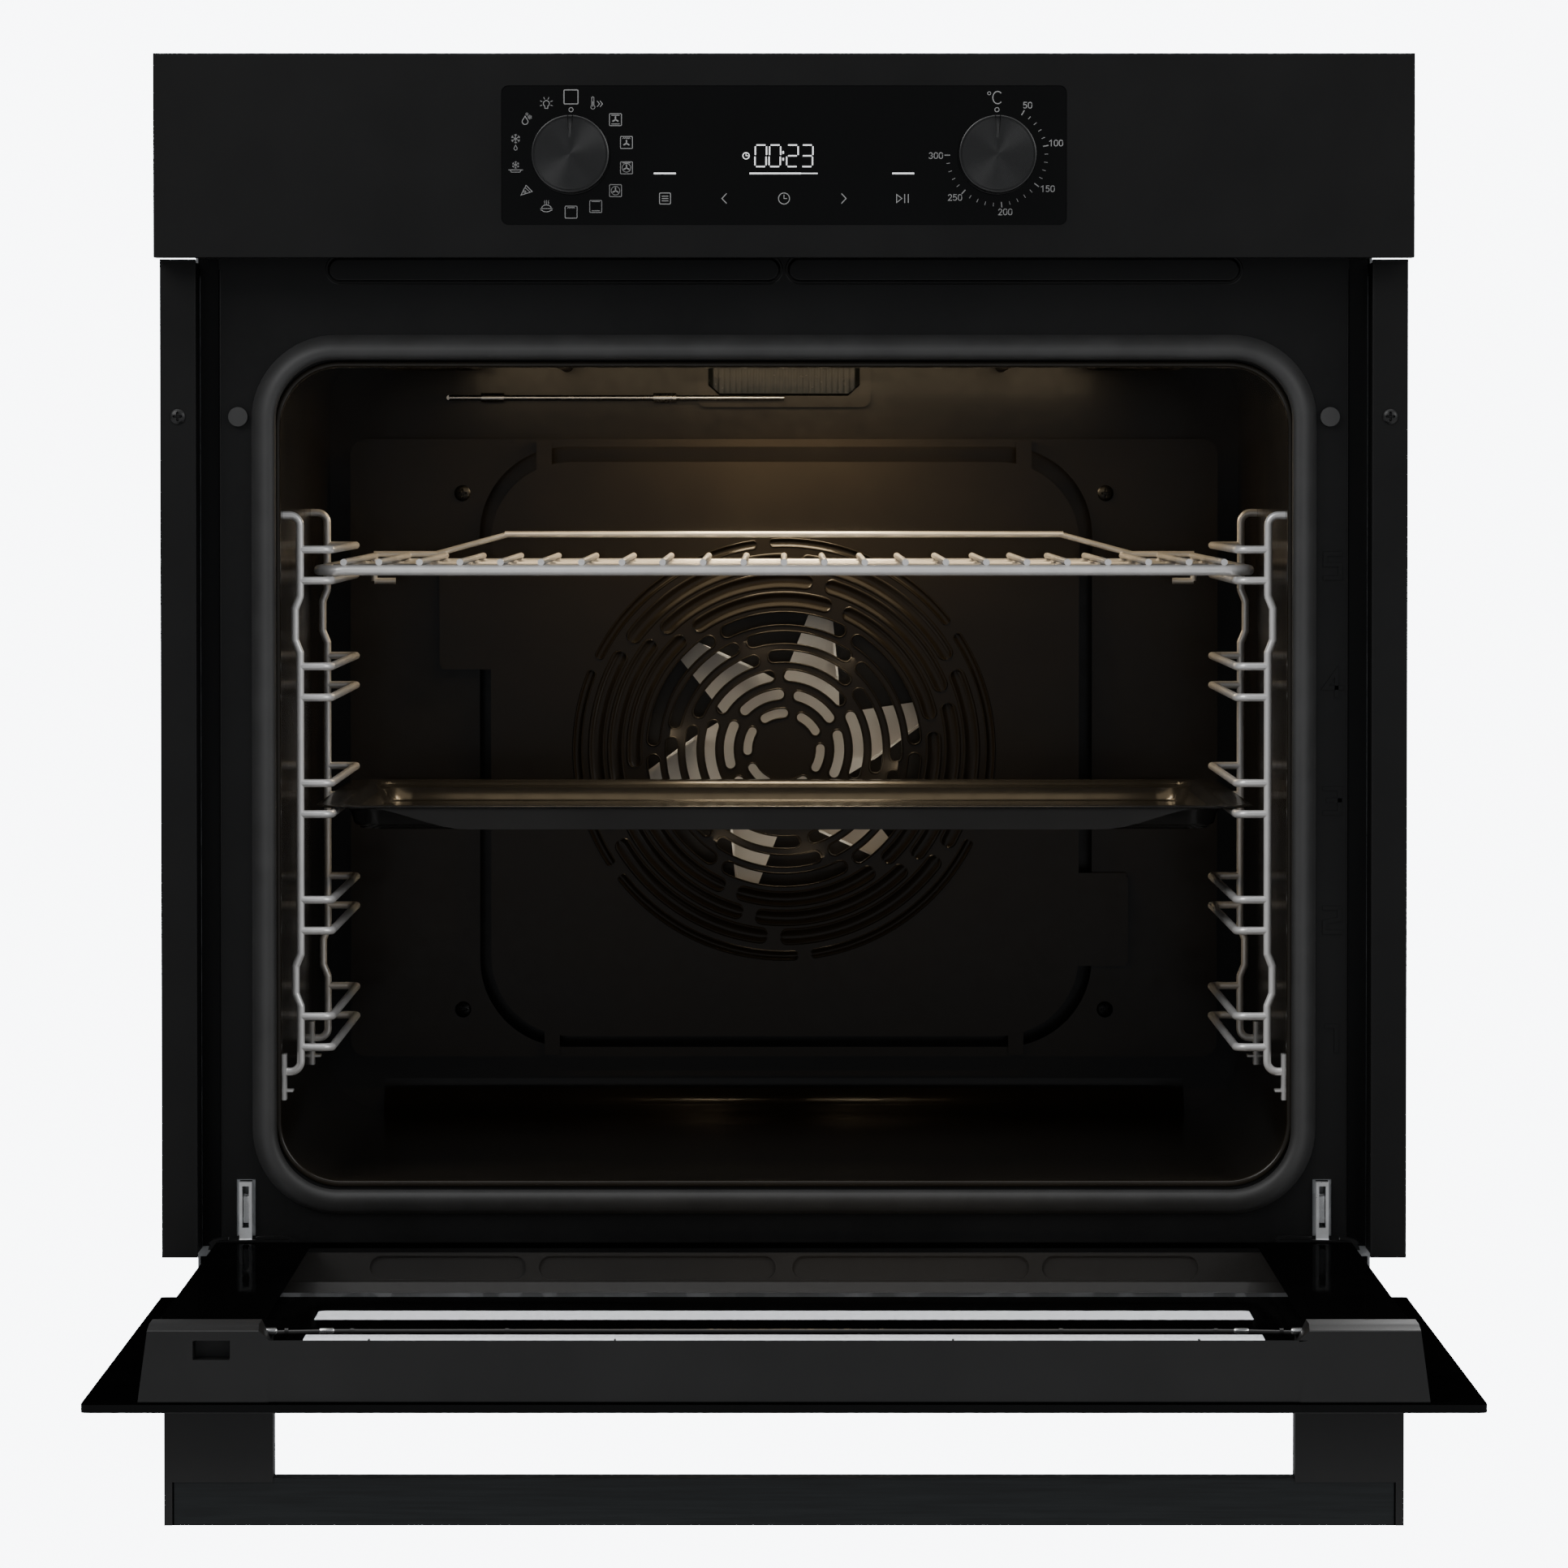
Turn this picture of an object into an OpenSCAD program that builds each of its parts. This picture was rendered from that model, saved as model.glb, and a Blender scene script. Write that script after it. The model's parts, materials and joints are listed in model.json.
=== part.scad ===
// Built-in electric wall oven, drawn with its drop-down door open.
// X runs to the right, Y into the cabinet niche, Z up. The origin is the middle
// of the niche floor's front edge: y = 0 is the cabinet's front plane.

/* [Overall] */
// Width of the control panel and of the outer door glass
front_w = 595; // [590:1:600]
// Height of the control panel's top above the niche floor
front_h = 595; // [590:1:597]
// How far the closed front stands out from the cabinet's front plane
front_out = 22; // [20:1:24]
// Width of the chassis that slides into the niche
chassis_w = 562; // [556:1:564]
// Depth of the chassis behind the cabinet's front plane
chassis_d = 545; // [540:1:550]
// Height of the chassis
chassis_h = 585; // [580:1:588]
// Thickness of the sheet metal
sheet = 1.2; // [1:0.1:1.4]

/* [Control panel] */
// Height of the control panel
panel_h = 96; // [90:1:98]
// Width of the glossy insert
insert_w = 266; // [250:1:280]
// Height of the glossy insert
insert_h = 65; // [60:1:70]
// Radius of the two knobs
knob_r = 18.2; // [16:0.1:19]
// How far the knobs stand out of the insert
knob_out = 20; // [16:1:24]
// Distance of each knob's axis from the middle
knob_x = 100.4; // [96:0.1:104]

/* [Cavity] */
// Width inside the cavity
cavity_w = 481; // [475:1:484]
// Height of the cavity floor
cavity_floor = 59; // [58:1:62]
// Height of the top of the cavity's mouth
mouth_top = 448; // [444:1:450]
// Height of the cavity ceiling
cavity_ceiling = 462; // [460:1:464]
// Corner radius of the cavity
cavity_r = 29; // [24:1:32]
// Depth of the front frame's face behind the cabinet's front plane
frame_y = 17; // [16:0.5:18]
// Depth of the cavity's rear wall
rear_y = 496; // [490:1:500]
// Depth of the fan baffle's face
baffle_y = 458; // [450:1:460]

/* [Racks] */
// Radius of the rack wire
rack_wire = 1.9; // [1.5:0.1:2]
// Distance of the upright wires from the middle
rack_x = 232.4; // [231.5:0.1:233]
// Distance of the rungs' inner runs from the middle
rung_x = 217.6; // [216:0.1:219]
// Height of the lowest rung
rung_z = 121.2; // [118:0.1:124]
// Distance between shelf levels
level_step = 56.1; // [55:0.1:56.5]
// Distance between the two rungs of a level
rung_gap = 14.9; // [14.5:0.1:15.5]
// Level that holds the wire shelf, counted from 0
shelf_level = 4; // [3:1:4]
// Level that holds the baking tray, counted from 0
tray_level = 2; // [1:1:2]

/* [Door] */
// Height of the door hinge's axis
pivot_z = 20; // [19:0.5:21]
// Height of the door's lower edge when closed
door_bottom = 4; // [3:1:5]
// Height of the door's upper edge when closed
door_top = 495; // [490:1:496]
// Thickness of each pane
glass_t = 4; // [3:0.5:4]
// Thickness of the closed door
door_t = 33; // [31:1:33]
// Radius of the hinge pins
pin_r = 3; // [2.5:0.1:3.5]

/* [Handle] */
// Overall length of the handle
handle_w = 529; // [500:1:560]
// Distance of the handle bar from the glass
handle_gap = 31.5; // [25:0.5:34]
// Depth of the handle bar
handle_d = 20.2; // [18:0.2:24]
// Height of the handle bar's section
handle_t = 16; // [12:1:20]

/* [Hidden] */
$fn = 64;

// Gap that keeps neighbouring pieces of different bodies apart
air = 0.4;
// Running clearance of a pin or shaft in its hole
running = 0.05;
// Overlap that joins two shapes of one solid
weld = 0.2;

// Front planes, as Y values
front_y = -front_out;
pivot_y = -2;
door_inner_y = front_y + door_t;
panel_z = front_h - panel_h;
insert_z = panel_z + panel_h / 2;
knob_front = front_y - knob_out;
half = chassis_w / 2;
screw_x = 287.6;
screw_z = 424;
screw_r = 2;
screw_play = 1.3;

// Racks
rack_front = 48;
rack_rear = 305;
rack_top = 377;
rack_foot = 109.5;
bend_r = 5;
wall_x = cavity_w / 2;

// Fan and heaters
fan_z = 252;
fan_r = 75;
fan_shaft_r = 4;
heater_r = 3.25;

// Hinges
arm_x0 = 254;
arm_x1 = 260;
case_x0 = 250.5;
case_x1 = 263.5;
eye_r = 7.5;
lock_y = 13.5;
lock_z = 41;
lock_pin_r = 1;

// Door parts
trim_top = door_top - 10;
block_z = trim_top - 48;
handle_z = door_top - 43;
bracket_w = 46.5;

// A box between two corners
module box(x0, x1, y0, y1, z0, z1)
    translate([x0, y0, z0]) cube([x1 - x0, y1 - y0, z1 - z0]);

// The children and their mirror image across the middle plane
module both() {
    children();
    mirror([1, 0, 0]) children();
}

// A flat outline in X and Z, made into a sheet from y0 back to y0 + t
module upright(y0, t)
    translate([0, y0 + t, 0]) rotate([90, 0, 0]) linear_extrude(t) children();

// A rectangle with round corners, between two corners
module round_rect(x0, x1, z0, z1, r) {
    translate([x0, z0 + r]) square([x1 - x0, z1 - z0 - 2 * r]);
    translate([x0 + r, z0]) square([x1 - x0 - 2 * r, z1 - z0]);
    for (x = [x0 + r, x1 - r], z = [z0 + r, z1 - r]) translate([x, z]) circle(r);
}

// A slot with round ends along X
module slot(x0, x1, z, r) {
    translate([x0 + r, z - r]) square([x1 - x0 - 2 * r, 2 * r]);
    for (x = [x0 + r, x1 - r]) translate([x, z]) circle(r);
}

module rod_x(r, x0, x1, y, z)
    translate([x0, y, z]) rotate([0, 90, 0]) cylinder(r = r, h = x1 - x0);

module rod_y(r, y0, y1, x, z)
    translate([x, y0, z]) rotate([-90, 0, 0]) cylinder(r = r, h = y1 - y0);

module rod_z(r, z0, z1, x, y)
    translate([x, y, z0]) cylinder(r = r, h = z1 - z0);

// A straight wire between two points
module strut(p, q, r) {
    d = q - p;
    translate(p) rotate([0, acos(d[2] / norm(d)), atan2(d[1], d[0])])
        cylinder(r = r, h = norm(d));
}

// A quarter bend of a wire in the X-Y plane, from the +X side to the +Y side
module bend(r, big) rotate_extrude(angle = 90) translate([big, 0]) circle(r);

// Turns a part drawn with the door closed to the open door
module opened()
    translate([0, pivot_y, pivot_z]) rotate([90, 0, 0]) translate([0, -pivot_y, -pivot_z])
        children();

// ---- Chassis -------------------------------------------------------------

module base_pan() color("#8f9192") {
    y0 = frame_y + 3;
    difference() {
        box(-half, half, y0, chassis_d, 0, 16);
        box(-half + sheet, half - sheet, y0 + sheet, chassis_d - sheet, sheet, 20);
    }
}

// A side panel with rows of cooling louvres near the top and the bottom
module side_panel() {
    difference() {
        union() {
            box(half - sheet, half, frame_y + 14, chassis_d, 16, chassis_h);
            box(half - sheet, half, 0, frame_y + 16, panel_z + 4, chassis_h);
            box(half - 17, half - sheet, frame_y + 14, frame_y + 14 + sheet, 22, panel_z - 8);
        }
        for (y = [120:22:450], z = [60, 540])
            translate([half, y, z]) rotate([0, 90, 0])
                linear_extrude(4 * sheet, center = true) slot(-14, 14, 0, 2);
    }
}

module left_side_panel() color("#8f9192") mirror([1, 0, 0]) side_panel();

module right_side_panel() color("#8f9192") side_panel();

module top_cover() color("#8f9192") difference() {
    union() {
        box(-half, half, 0, chassis_d, chassis_h, chassis_h + sheet);
        box(-half + sheet, half - sheet, 0, sheet, chassis_h - 12, chassis_h);
    }
    for (x = [-190:38:190], y = [330, 470])
        translate([x, y, chassis_h - 1]) linear_extrude(4) slot(-13, 13, 0, 2.5);
}

module rear_cover() color("#8f9192") difference() {
    union() {
        box(-half, half, chassis_d, chassis_d + sheet, 0, chassis_h + sheet);
        rod_y(62, chassis_d + sheet - weld, chassis_d + 9, 0, fan_z);
    }
    rod_y(62 - sheet, chassis_d - 1, chassis_d + 9 - sheet, 0, fan_z);
    upright(chassis_d - 1, 12)
        for (x = [-220:44:220]) slot(x - 15, x + 15, 545, 2.5);
    upright(chassis_d - 1, 12)
        for (x = [-36:18:36]) slot(x - 6, x + 6, fan_z, 2);
    rod_y(9, chassis_d - 1, chassis_d + 3, terminal_x, terminal_z);
}

module front_frame() color("#1d1d1d") difference() {
    edge = 269;
    wing = 278.7;
    union() {
        upright(frame_y, sheet) round_rect(-edge, edge, 24, panel_z + 3, 3);
        both() box(edge - sheet, edge, frame_y + weld, frame_y + 14, 27, panel_z);
        both() box(edge - weld, wing, frame_y + 14 - sheet, frame_y + 14, 27, panel_z);
        upright(frame_y - 1.6, 2) for (s = [-1, 1])
            slot(min(s * 3, s * 216), max(s * 3, s * 216), panel_z - 5, 4.6);
        box(-edge + 3, edge - 3, -10, frame_y + weld, panel_z + 3 - sheet, panel_z + 3);
    }
    upright(frame_y - 4, 12)
        round_rect(-wall_x, wall_x, cavity_floor, mouth_top, cavity_r);
    both() box(252.5, 261.5, frame_y - 5, frame_y + 10, 33, 60);
    both() rod_y(2, frame_y - 5, frame_y + 5, 260, screw_z);
}

// The trim that covers the gap beside the door and carries the cabinet screw
module side_trim() difference() {
    union() {
        box(half - 2, 296, -sheet, 0, 24, panel_z - 0.5);
        box(half - 2, half - 2 + sheet, -weld, frame_y + 14, 26, panel_z - 2);
    }
    rod_y(screw_r + screw_play, -3, 3, screw_x, screw_z);
}

module left_side_trim() color("#191919") mirror([1, 0, 0]) side_trim();

module right_side_trim() color("#191919") side_trim();

module cabinet_screws() color("#2a2a2a") both() difference() {
    union() {
        rod_y(3.6, -sheet - 1.8, -sheet, screw_x, screw_z);
        rod_y(screw_r, -sheet - weld, 22, screw_x, screw_z);
    }
    for (a = [0, 90]) translate([screw_x, -sheet - 2, screw_z]) rotate([0, a, 0])
        cube([4, 2, 0.9], center = true);
}

module door_buffers() color("#2c2c2c") both() {
    rod_y(4.6, frame_y - 3.2, frame_y, 260, screw_z);
    rod_y(1.9, frame_y - weld, frame_y + 4, 260, screw_z);
}

// ---- Cavity --------------------------------------------------------------

module cavity() color("#3a322b") difference() {
    upright(frame_y + sheet, rear_y - frame_y - sheet)
        round_rect(-wall_x - sheet, wall_x + sheet, cavity_floor - sheet,
                   cavity_ceiling + sheet, cavity_r + sheet);
    upright(frame_y + sheet + 12, rear_y - frame_y - 2 * sheet - 12)
        round_rect(-wall_x, wall_x, cavity_floor, cavity_ceiling, cavity_r);
    upright(frame_y, 14)
        round_rect(-wall_x, wall_x, cavity_floor, mouth_top, cavity_r);
    rod_y(fan_shaft_r + 2, rear_y - 5, rear_y + 5, 0, fan_z);
    for (x = [-tail_x, tail_x]) rod_y(heater_r + 0.8, rear_y - 5, rear_y + 5, x, tail_z);
    for (x = [-grill_x, grill_x]) rod_y(heater_r + 0.2, rear_y - 5, rear_y + 5, x, grill_z);
    upright(rear_y - 5, 10) round_rect(-34, 34, 440, 458, 4);
    rod_y(1.7, rear_y - 5, rear_y + 5, -probe_x, probe_z);
    for (s = [-1, 1], y = [rack_front, rack_rear])
        rod_x(rack_wire + 0.2, min(s * 235, s * 248), max(s * 235, s * 248), y, rack_top);
}

// An arc slot with round ends, cut along Y through a plate round the fan's axis
module grille_slot(r, half_w, middle, bridge, depth) {
    span = 360 / slots_round - (bridge + 2 * half_w) * 180 / (PI * r);
    rotate([90, 0, 0]) translate([0, 0, -depth / 2]) {
        rotate([0, 0, middle - span / 2]) rotate_extrude(angle = span)
            translate([r - half_w, 0]) square([2 * half_w, depth]);
        for (a = [middle - span / 2, middle + span / 2])
            rotate(a) translate([r, 0, 0]) cylinder(r = half_w - end_step, h = depth);
    }
}

ring_first = 19.1;
ring_step = 9.95;
slot_half = [2.5, 2.8, 3, 3.1, 3.2, 3.3];
groove_half = [3.3, 3.4, 3.5, 1.9];
slots_round = 6;
slot_twist = 8.85;
slot_first = 46.1;
slot_bridge = 4.6;
groove_bridge = 7.2;
end_step = 0.08;
raise = 6;

// The plate in front of the fan: its middle is pressed forward and stands on tabs
module fan_baffle() color("#453c34") difference() {
    back = baffle_y + sheet;
    front = baffle_y - raise;
    union() {
        difference() {
            upright(baffle_y, sheet) round_rect(-228, 228, 90, 415, 8);
            upright(baffle_y - 1, sheet + 2) round_rect(-160, 162, 95, 411, 46);
        }
        upright(front, sheet) round_rect(-154, 155, 101, 403, 42);
        box(-180, -150, front + 0.1, front + 1.1, 294, 360);
        box(150, 180, front + 0.1, front + 1.1, 138, 187);
        box(-181, -180 + weld, front + 0.1, back, 296, 358);
        box(180 - weld, 181, front + 0.1, back, 140, 185);
        for (s = [-1, 1]) {
            box(s * 126 - 4, s * 126 + 4, front + 0.1, back - 0.1, 395, 414);
            box(s * 122 - 4, s * 122 + 4, front + 0.1, back - 0.1, 91, 108);
        }
        both() for (z = [114.8, 386.6]) rod_y(4.5, baffle_y + 0.1, rear_y - sheet, 169, z);
    }
    translate([0, front, fan_z]) for (k = [0:slots_round - 1]) {
        first = slot_first + k * 360 / slots_round;
        open_rings = len(slot_half);
        for (i = [0:open_rings - 1])
            grille_slot(ring_first + i * ring_step, slot_half[i], first + i * slot_twist,
                        slot_bridge, 6);
        for (i = [0:len(groove_half) - 1])
            grille_slot(ring_first + (i + open_rings) * ring_step, groove_half[i],
                        first + (i + open_rings) * slot_twist, groove_bridge, 1.4);
    }
    both() for (z = [114.8, 386.6]) rod_y(2, baffle_y - 1, baffle_y + 14, 169, z);
}

module baffle_screws() color("#5a4a3c") both() for (z = [114.8, 386.6]) {
    rod_y(4.2, baffle_y - 2.2, baffle_y, 169, z);
    rod_y(2, baffle_y - weld, baffle_y + 12, 169, z);
}

seal_x = 248.2;
seal_z0 = 49;
seal_z1 = 457.5;
seal_half = 5.6;
seal_h = 9;

module door_seal() color("#454545") {
    r_out = 40;
    upright(frame_y - seal_h + 4, seal_h - 4) difference() {
        round_rect(-seal_x - seal_half, seal_x + seal_half, seal_z0 - seal_half,
                   seal_z1 + seal_half, r_out);
        round_rect(-seal_x + seal_half, seal_x - seal_half, seal_z0 + seal_half,
                   seal_z1 - seal_half, r_out - 2 * seal_half);
    }
    upright(frame_y - seal_h, 4 + weld) difference() {
        round_rect(-seal_x - seal_half + 2.4, seal_x + seal_half - 2.4,
                   seal_z0 - seal_half + 2.4, seal_z1 + seal_half - 2.4, r_out - 2.4);
        round_rect(-seal_x + seal_half - 2.4, seal_x - seal_half + 2.4,
                   seal_z0 + seal_half - 2.4, seal_z1 - seal_half + 2.4,
                   r_out - 2 * seal_half + 2.4);
    }
}

// One U-shaped rung of a rack, on the +X side
module rung(z) {
    big = 5;
    rod_x(rack_wire, rung_x + big, rack_x, rack_front, z);
    translate([rung_x + big, rack_front + big, z]) rotate([0, 0, 180]) bend(rack_wire, big);
    rod_y(rack_wire, rack_front + big, rack_rear - big, rung_x, z);
    translate([rung_x + big, rack_rear - big, z]) rotate([0, 0, 90]) bend(rack_wire, big);
    rod_x(rack_wire, rung_x + big, rack_x, rack_rear, z);
}

// An upright wire with its two jogs and its hooked ends, on the +X side
module upright_wire(y) {
    jog = 2.4;
    spots = [
        [0, rack_foot + bend_r], [0, 141], [jog, 147], [jog, 160], [0, 166], [0, 311],
        [jog, 317], [jog, 332], [0, 338], [0, rack_top - bend_r]
    ];
    for (i = [0:len(spots) - 2]) {
        a = [rack_x + spots[i][0], y, spots[i][1]];
        b = [rack_x + spots[i + 1][0], y, spots[i + 1][1]];
        lead = (i > 0 && i < len(spots) - 2) ? 0.4 * (b - a) / norm(b - a) : [0, 0, 0];
        strut(a - lead, b + lead, rack_wire);
    }
    for (s = [0, 1])
        translate([rack_x + bend_r, y, s ? rack_top - bend_r : rack_foot + bend_r])
            rotate([90, s ? 270 : 180, 0]) bend(rack_wire, bend_r);
    rod_x(rack_wire, rack_x + bend_r, wall_x + 3, y, rack_top);
    rod_x(rack_wire, rack_x + bend_r, wall_x - 1.3, y, rack_foot);
}

module rack() {
    for (y = [rack_front, rack_rear]) upright_wire(y);
    for (level = [0:4]) {
        rung(rung_z + level * level_step);
        rung(rung_z + level * level_step + rung_gap);
    }
}

module left_rack() color("#a8a8a6") mirror([1, 0, 0]) rack();

module right_rack() color("#a8a8a6") rack();

module rack_clips() color("#9a9a98") both() for (y = [rack_front, rack_rear]) {
    box(wall_x - 1.3, wall_x, y - 5, y + 5, 96, 118);
    box(wall_x - 4.5, wall_x - 1.3 + weld, y - 5, y + 5, 100, 101);
}

grill_x = 115;
grill_z = 454;
probe_x = 177;
probe_z = 437;

// The roof heater: one tube, folded into three runs on each side
module grill_element() color("#5c5550") {
    outer = 205;
    middle = 160;
    near = 60;
    inner_near = 92;
    far = 420;
    turn = (outer - middle) / 2;
    rod_x(heater_r, -outer + turn, outer - turn, near, grill_z);
    both() {
        translate([outer - turn, near + turn, grill_z]) rotate([0, 0, 270])
            bend(heater_r, turn);
        rod_y(heater_r, near + turn, far, outer, grill_z);
        translate([middle + turn, far, grill_z]) bend(heater_r, turn);
        translate([middle + turn, far, grill_z]) rotate([0, 0, 90]) bend(heater_r, turn);
        rod_y(heater_r, inner_near + turn, far, middle, grill_z);
        translate([grill_x + turn, inner_near + turn, grill_z]) {
            rotate([0, 0, 180]) bend(heater_r, turn);
            rotate([0, 0, 270]) bend(heater_r, turn);
        }
        rod_y(heater_r, inner_near + turn, rear_y + 18, grill_x, grill_z);
    }
}

// The ring heater round the fan wheel, open at the bottom for its two ends
ring_r = 92;
ring_gap = 7;
tail_x = ring_r * sin(ring_gap);
tail_z = fan_z - ring_r * cos(ring_gap);

module ring_element() color("#5c5550") {
    y = 478;
    translate([0, y, fan_z]) rotate([90, 0, 0]) rotate([0, 0, ring_gap - 90])
        rotate_extrude(angle = 360 - 2 * ring_gap) translate([ring_r, 0]) circle(heater_r);
    for (x = [-tail_x, tail_x]) rod_y(heater_r + 0.6, y - heater_r - 1, rear_y + 16, x, tail_z);
}

// The floor heater, under the cavity floor
module bottom_element() color("#5c5550") {
    z = cavity_floor - sheet - heater_r - 1.2;
    side = 170;
    near = 90;
    far = 400;
    big = 60;
    tail = 40;
    rod_x(heater_r, -side + big, side - big, near, z);
    both() {
        translate([side - big, near + big, z]) rotate([0, 0, 270]) bend(heater_r, big);
        rod_y(heater_r, near + big, far, side, z);
        translate([side - big, far, z]) bend(heater_r, big);
        rod_x(heater_r, tail, side - big, far + big, z);
        rod_y(heater_r + 0.6, far + big - heater_r - 1, rear_y + 16, tail, z);
    }
}

module lamp_housing() color("#3a322b") difference() {
    union() {
        upright(rear_y - sheet - 6, 6) round_rect(-46, 46, 432, 461, 5);
        upright(rear_y - sheet - weld, 26) round_rect(-32, 32, 441, 457, 4);
    }
    upright(rear_y - sheet - 7, 30) round_rect(-28, 28, 442.5, 455.5, 3);
    upright(rear_y - sheet - 8, 5) round_rect(-40.4, 40.4, 437.6, 459, 4);
}

module lamp_lens() color("#fff2cf") difference() {
    upright(rear_y - sheet - 9, 6) round_rect(-40, 40, 438, 458.6, 4);
    upright(rear_y - sheet - 7, 8) round_rect(-28, 28, 441, 456, 3);
}

module lamp_bulb() color("#ffe9b0") {
    rod_x(4.2, -16, 14, rear_y + 8, 449);
    rod_x(5, 14 - weld, 24, rear_y + 8, 449);
}

module temperature_probe() color("#c9c6bd") {
    y = rear_y - sheet - 12;
    rod_x(1.3, -probe_x, 0, y, probe_z);
    for (x = [-154, -63]) {
        rod_x(2.4, x - 6, x + 6, y, probe_z);
        box(x - 3, x + 3, y, rear_y - sheet, probe_z - 1, probe_z + 1);
    }
    rod_y(1.3, y, rear_y + 12, -probe_x, probe_z);
}

// The glass-wool jacket round the cavity
module insulation() color("#d9cfa8") {
    clear = 3.4;
    thick = 16;
    side = wall_x + sheet + clear;
    top = cavity_ceiling + sheet + clear;
    both() box(side, side + thick, 40, rear_y, 66, top - 2);
    box(-side, side, 40, rear_y, top, top + thick);
    difference() {
        box(-200, 200, rear_y + 2, rear_y + 18, 70, 430);
        rod_y(58, rear_y, rear_y + 30, 0, fan_z);
        box(-20, 20, rear_y, rear_y + 30, 140, 200);
    }
}

// ---- Fans ----------------------------------------------------------------

module fan_motor() color("#9b9d9f") difference() {
    union() {
        rod_y(34, rear_y + 12, rear_y + 46, 0, fan_z);
        rod_y(14, rear_y + 3, rear_y + 12 + weld, 0, fan_z);
        for (a = [45, 225]) translate([0, rear_y, fan_z]) rotate([0, a, 0])
            box(-7, 7, 9, 12 + weld, -52, 0);
        for (a = [45, 225]) translate([0, rear_y, fan_z]) rotate([0, a, 0])
            box(-7, 7, 0, 9 + weld, -52, -46);
    }
    rod_y(fan_shaft_r + running, rear_y - 2, rear_y + 24, 0, fan_z);
}

module fan_wheel() color("#8d8880") {
    hub_y = 462;
    blade_y = hub_y + 16;
    rod_y(fan_shaft_r, hub_y + 2, rear_y + 22, 0, fan_z);
    rod_y(9, hub_y + 1, blade_y, 0, fan_z);
    rod_y(36, blade_y - 1.5, blade_y, 0, fan_z);
    translate([0, 0, fan_z]) for (k = [0:5]) rotate([0, k * 60, 0]) {
        upright(blade_y - 1.5, 1.5)
            polygon([[-5, 25], [14.2, fan_r - 1.5], [25.4, fan_r - 4], [28.8, 38], [29.4, 14]]);
        upright(blade_y - 12, 12 - weld)
            polygon([[24.2, fan_r - 4], [25.4, fan_r - 4], [28.8, 38], [27.6, 38]]);
    }
}

blower_y = 470;
blower_z = 530;
blower_r = 27;
blower_w = 180;

module blower_housing() color("#9b9d9f") difference() {
    wall = 1.2;
    r_in = blower_r + 4;
    half_w = blower_w / 2 + 4;
    union() {
        rod_x(r_in + wall, -half_w - wall, half_w + wall, blower_y, blower_z);
        box(-half_w - wall, half_w + wall, blower_y - 110, blower_y, blower_z - r_in - wall,
            blower_z - 2);
        box(-half_w - wall, half_w + wall, blower_y - 60, blower_y + 20, 484,
            blower_z - r_in);
    }
    rod_x(r_in, -half_w, half_w, blower_y, blower_z);
    box(-half_w, half_w, blower_y - 120, blower_y, blower_z - r_in, blower_z - 2 - wall);
    box(-half_w, half_w, blower_y + 5, blower_y + 50, blower_z + 2, blower_z + 40);
    box(-half_w + 4, half_w - 4, blower_y - 56, blower_y + 16, 480, blower_z - r_in - 4);
    rod_x(5, -half_w - 10, half_w + 10, blower_y, blower_z);
}

module blower_motor() color("#6f7173") difference() {
    x0 = blower_w / 2 + 8;
    union() {
        rod_x(24, x0, x0 + 34, blower_y, blower_z);
        box(x0, x0 + 4, blower_y - 30, blower_y + 30, 500, 512);
    }
    rod_x(3 + running, x0 - 4, x0 + 24, blower_y, blower_z);
}

module blower_rotor() color("#b4b6b8") {
    half_w = blower_w / 2;
    rod_x(3, -half_w - 12, half_w + 30, blower_y, blower_z);
    for (x = [-half_w, half_w - 2]) rod_x(blower_r, x, x + 2, blower_y, blower_z);
    translate([0, blower_y, blower_z]) for (k = [0:17]) rotate([k * 20, 0, 0])
        translate([-half_w + weld, -0.6, 19]) cube([2 * half_w - 2 * weld, 1.2, 7]);
}

// ---- Control panel -------------------------------------------------------

module control_panel() color("#1a1a1a") difference() {
    wall = 1.5;
    w = front_w / 2;
    box(-w, w, front_y, 0, panel_z, front_h);
    box(-w + wall, w - wall, front_y + wall, 2, panel_z + wall, front_h - wall);
    upright(front_y - 1, 4)
        round_rect(-insert_w / 2 - 0.3, insert_w / 2 + 0.3, insert_z - insert_h / 2 - 0.3,
                   insert_z + insert_h / 2 + 0.3, 3.3);
}

module control_insert() color("#090a0a") difference() {
    union() {
        upright(front_y - 0.4, 3)
            round_rect(-insert_w / 2, insert_w / 2, insert_z - insert_h / 2,
                       insert_z + insert_h / 2, 3);
        upright(front_y + 2.6 - weld, 2 + weld)
            round_rect(-insert_w / 2 - 6, insert_w / 2 + 6, insert_z - insert_h / 2 - 5,
                       insert_z + insert_h / 2 + 5, 3);
    }
    for (x = [-knob_x, knob_x]) rod_y(5, front_y - 2, front_y + 8, x, insert_z);
}

module control_board() color("#1f4d2b") {
    upright(front_y + 4.8, 1.6) round_rect(-62, 62, insert_z - 28, insert_z + 28, 2);
    upright(front_y + 6.2, 9) round_rect(-24, 24, insert_z - 4, insert_z + 18, 1);
}

// A rotary switch or thermostat behind the panel, with a hole for its shaft
module rotary_body(x, w, d) difference() {
    union() {
        upright(front_y + 5, d) round_rect(x - w / 2, x + w / 2, insert_z - w / 2,
                                           insert_z + w / 2, 4);
        rod_y(5.6, front_y + 4.8, front_y + 5 + weld, x, insert_z);
    }
    rod_y(3 + running, front_y, front_y + 5 + d - 3, x, insert_z);
}

module selector_switch() color("#d9d4c4") rotary_body(-knob_x, 40, 38);

module thermostat() color("#b9b4a6") {
    rotary_body(knob_x, 38, 26);
    rod_y(12, front_y + 31 - weld, front_y + 38, knob_x, insert_z);
}

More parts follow.
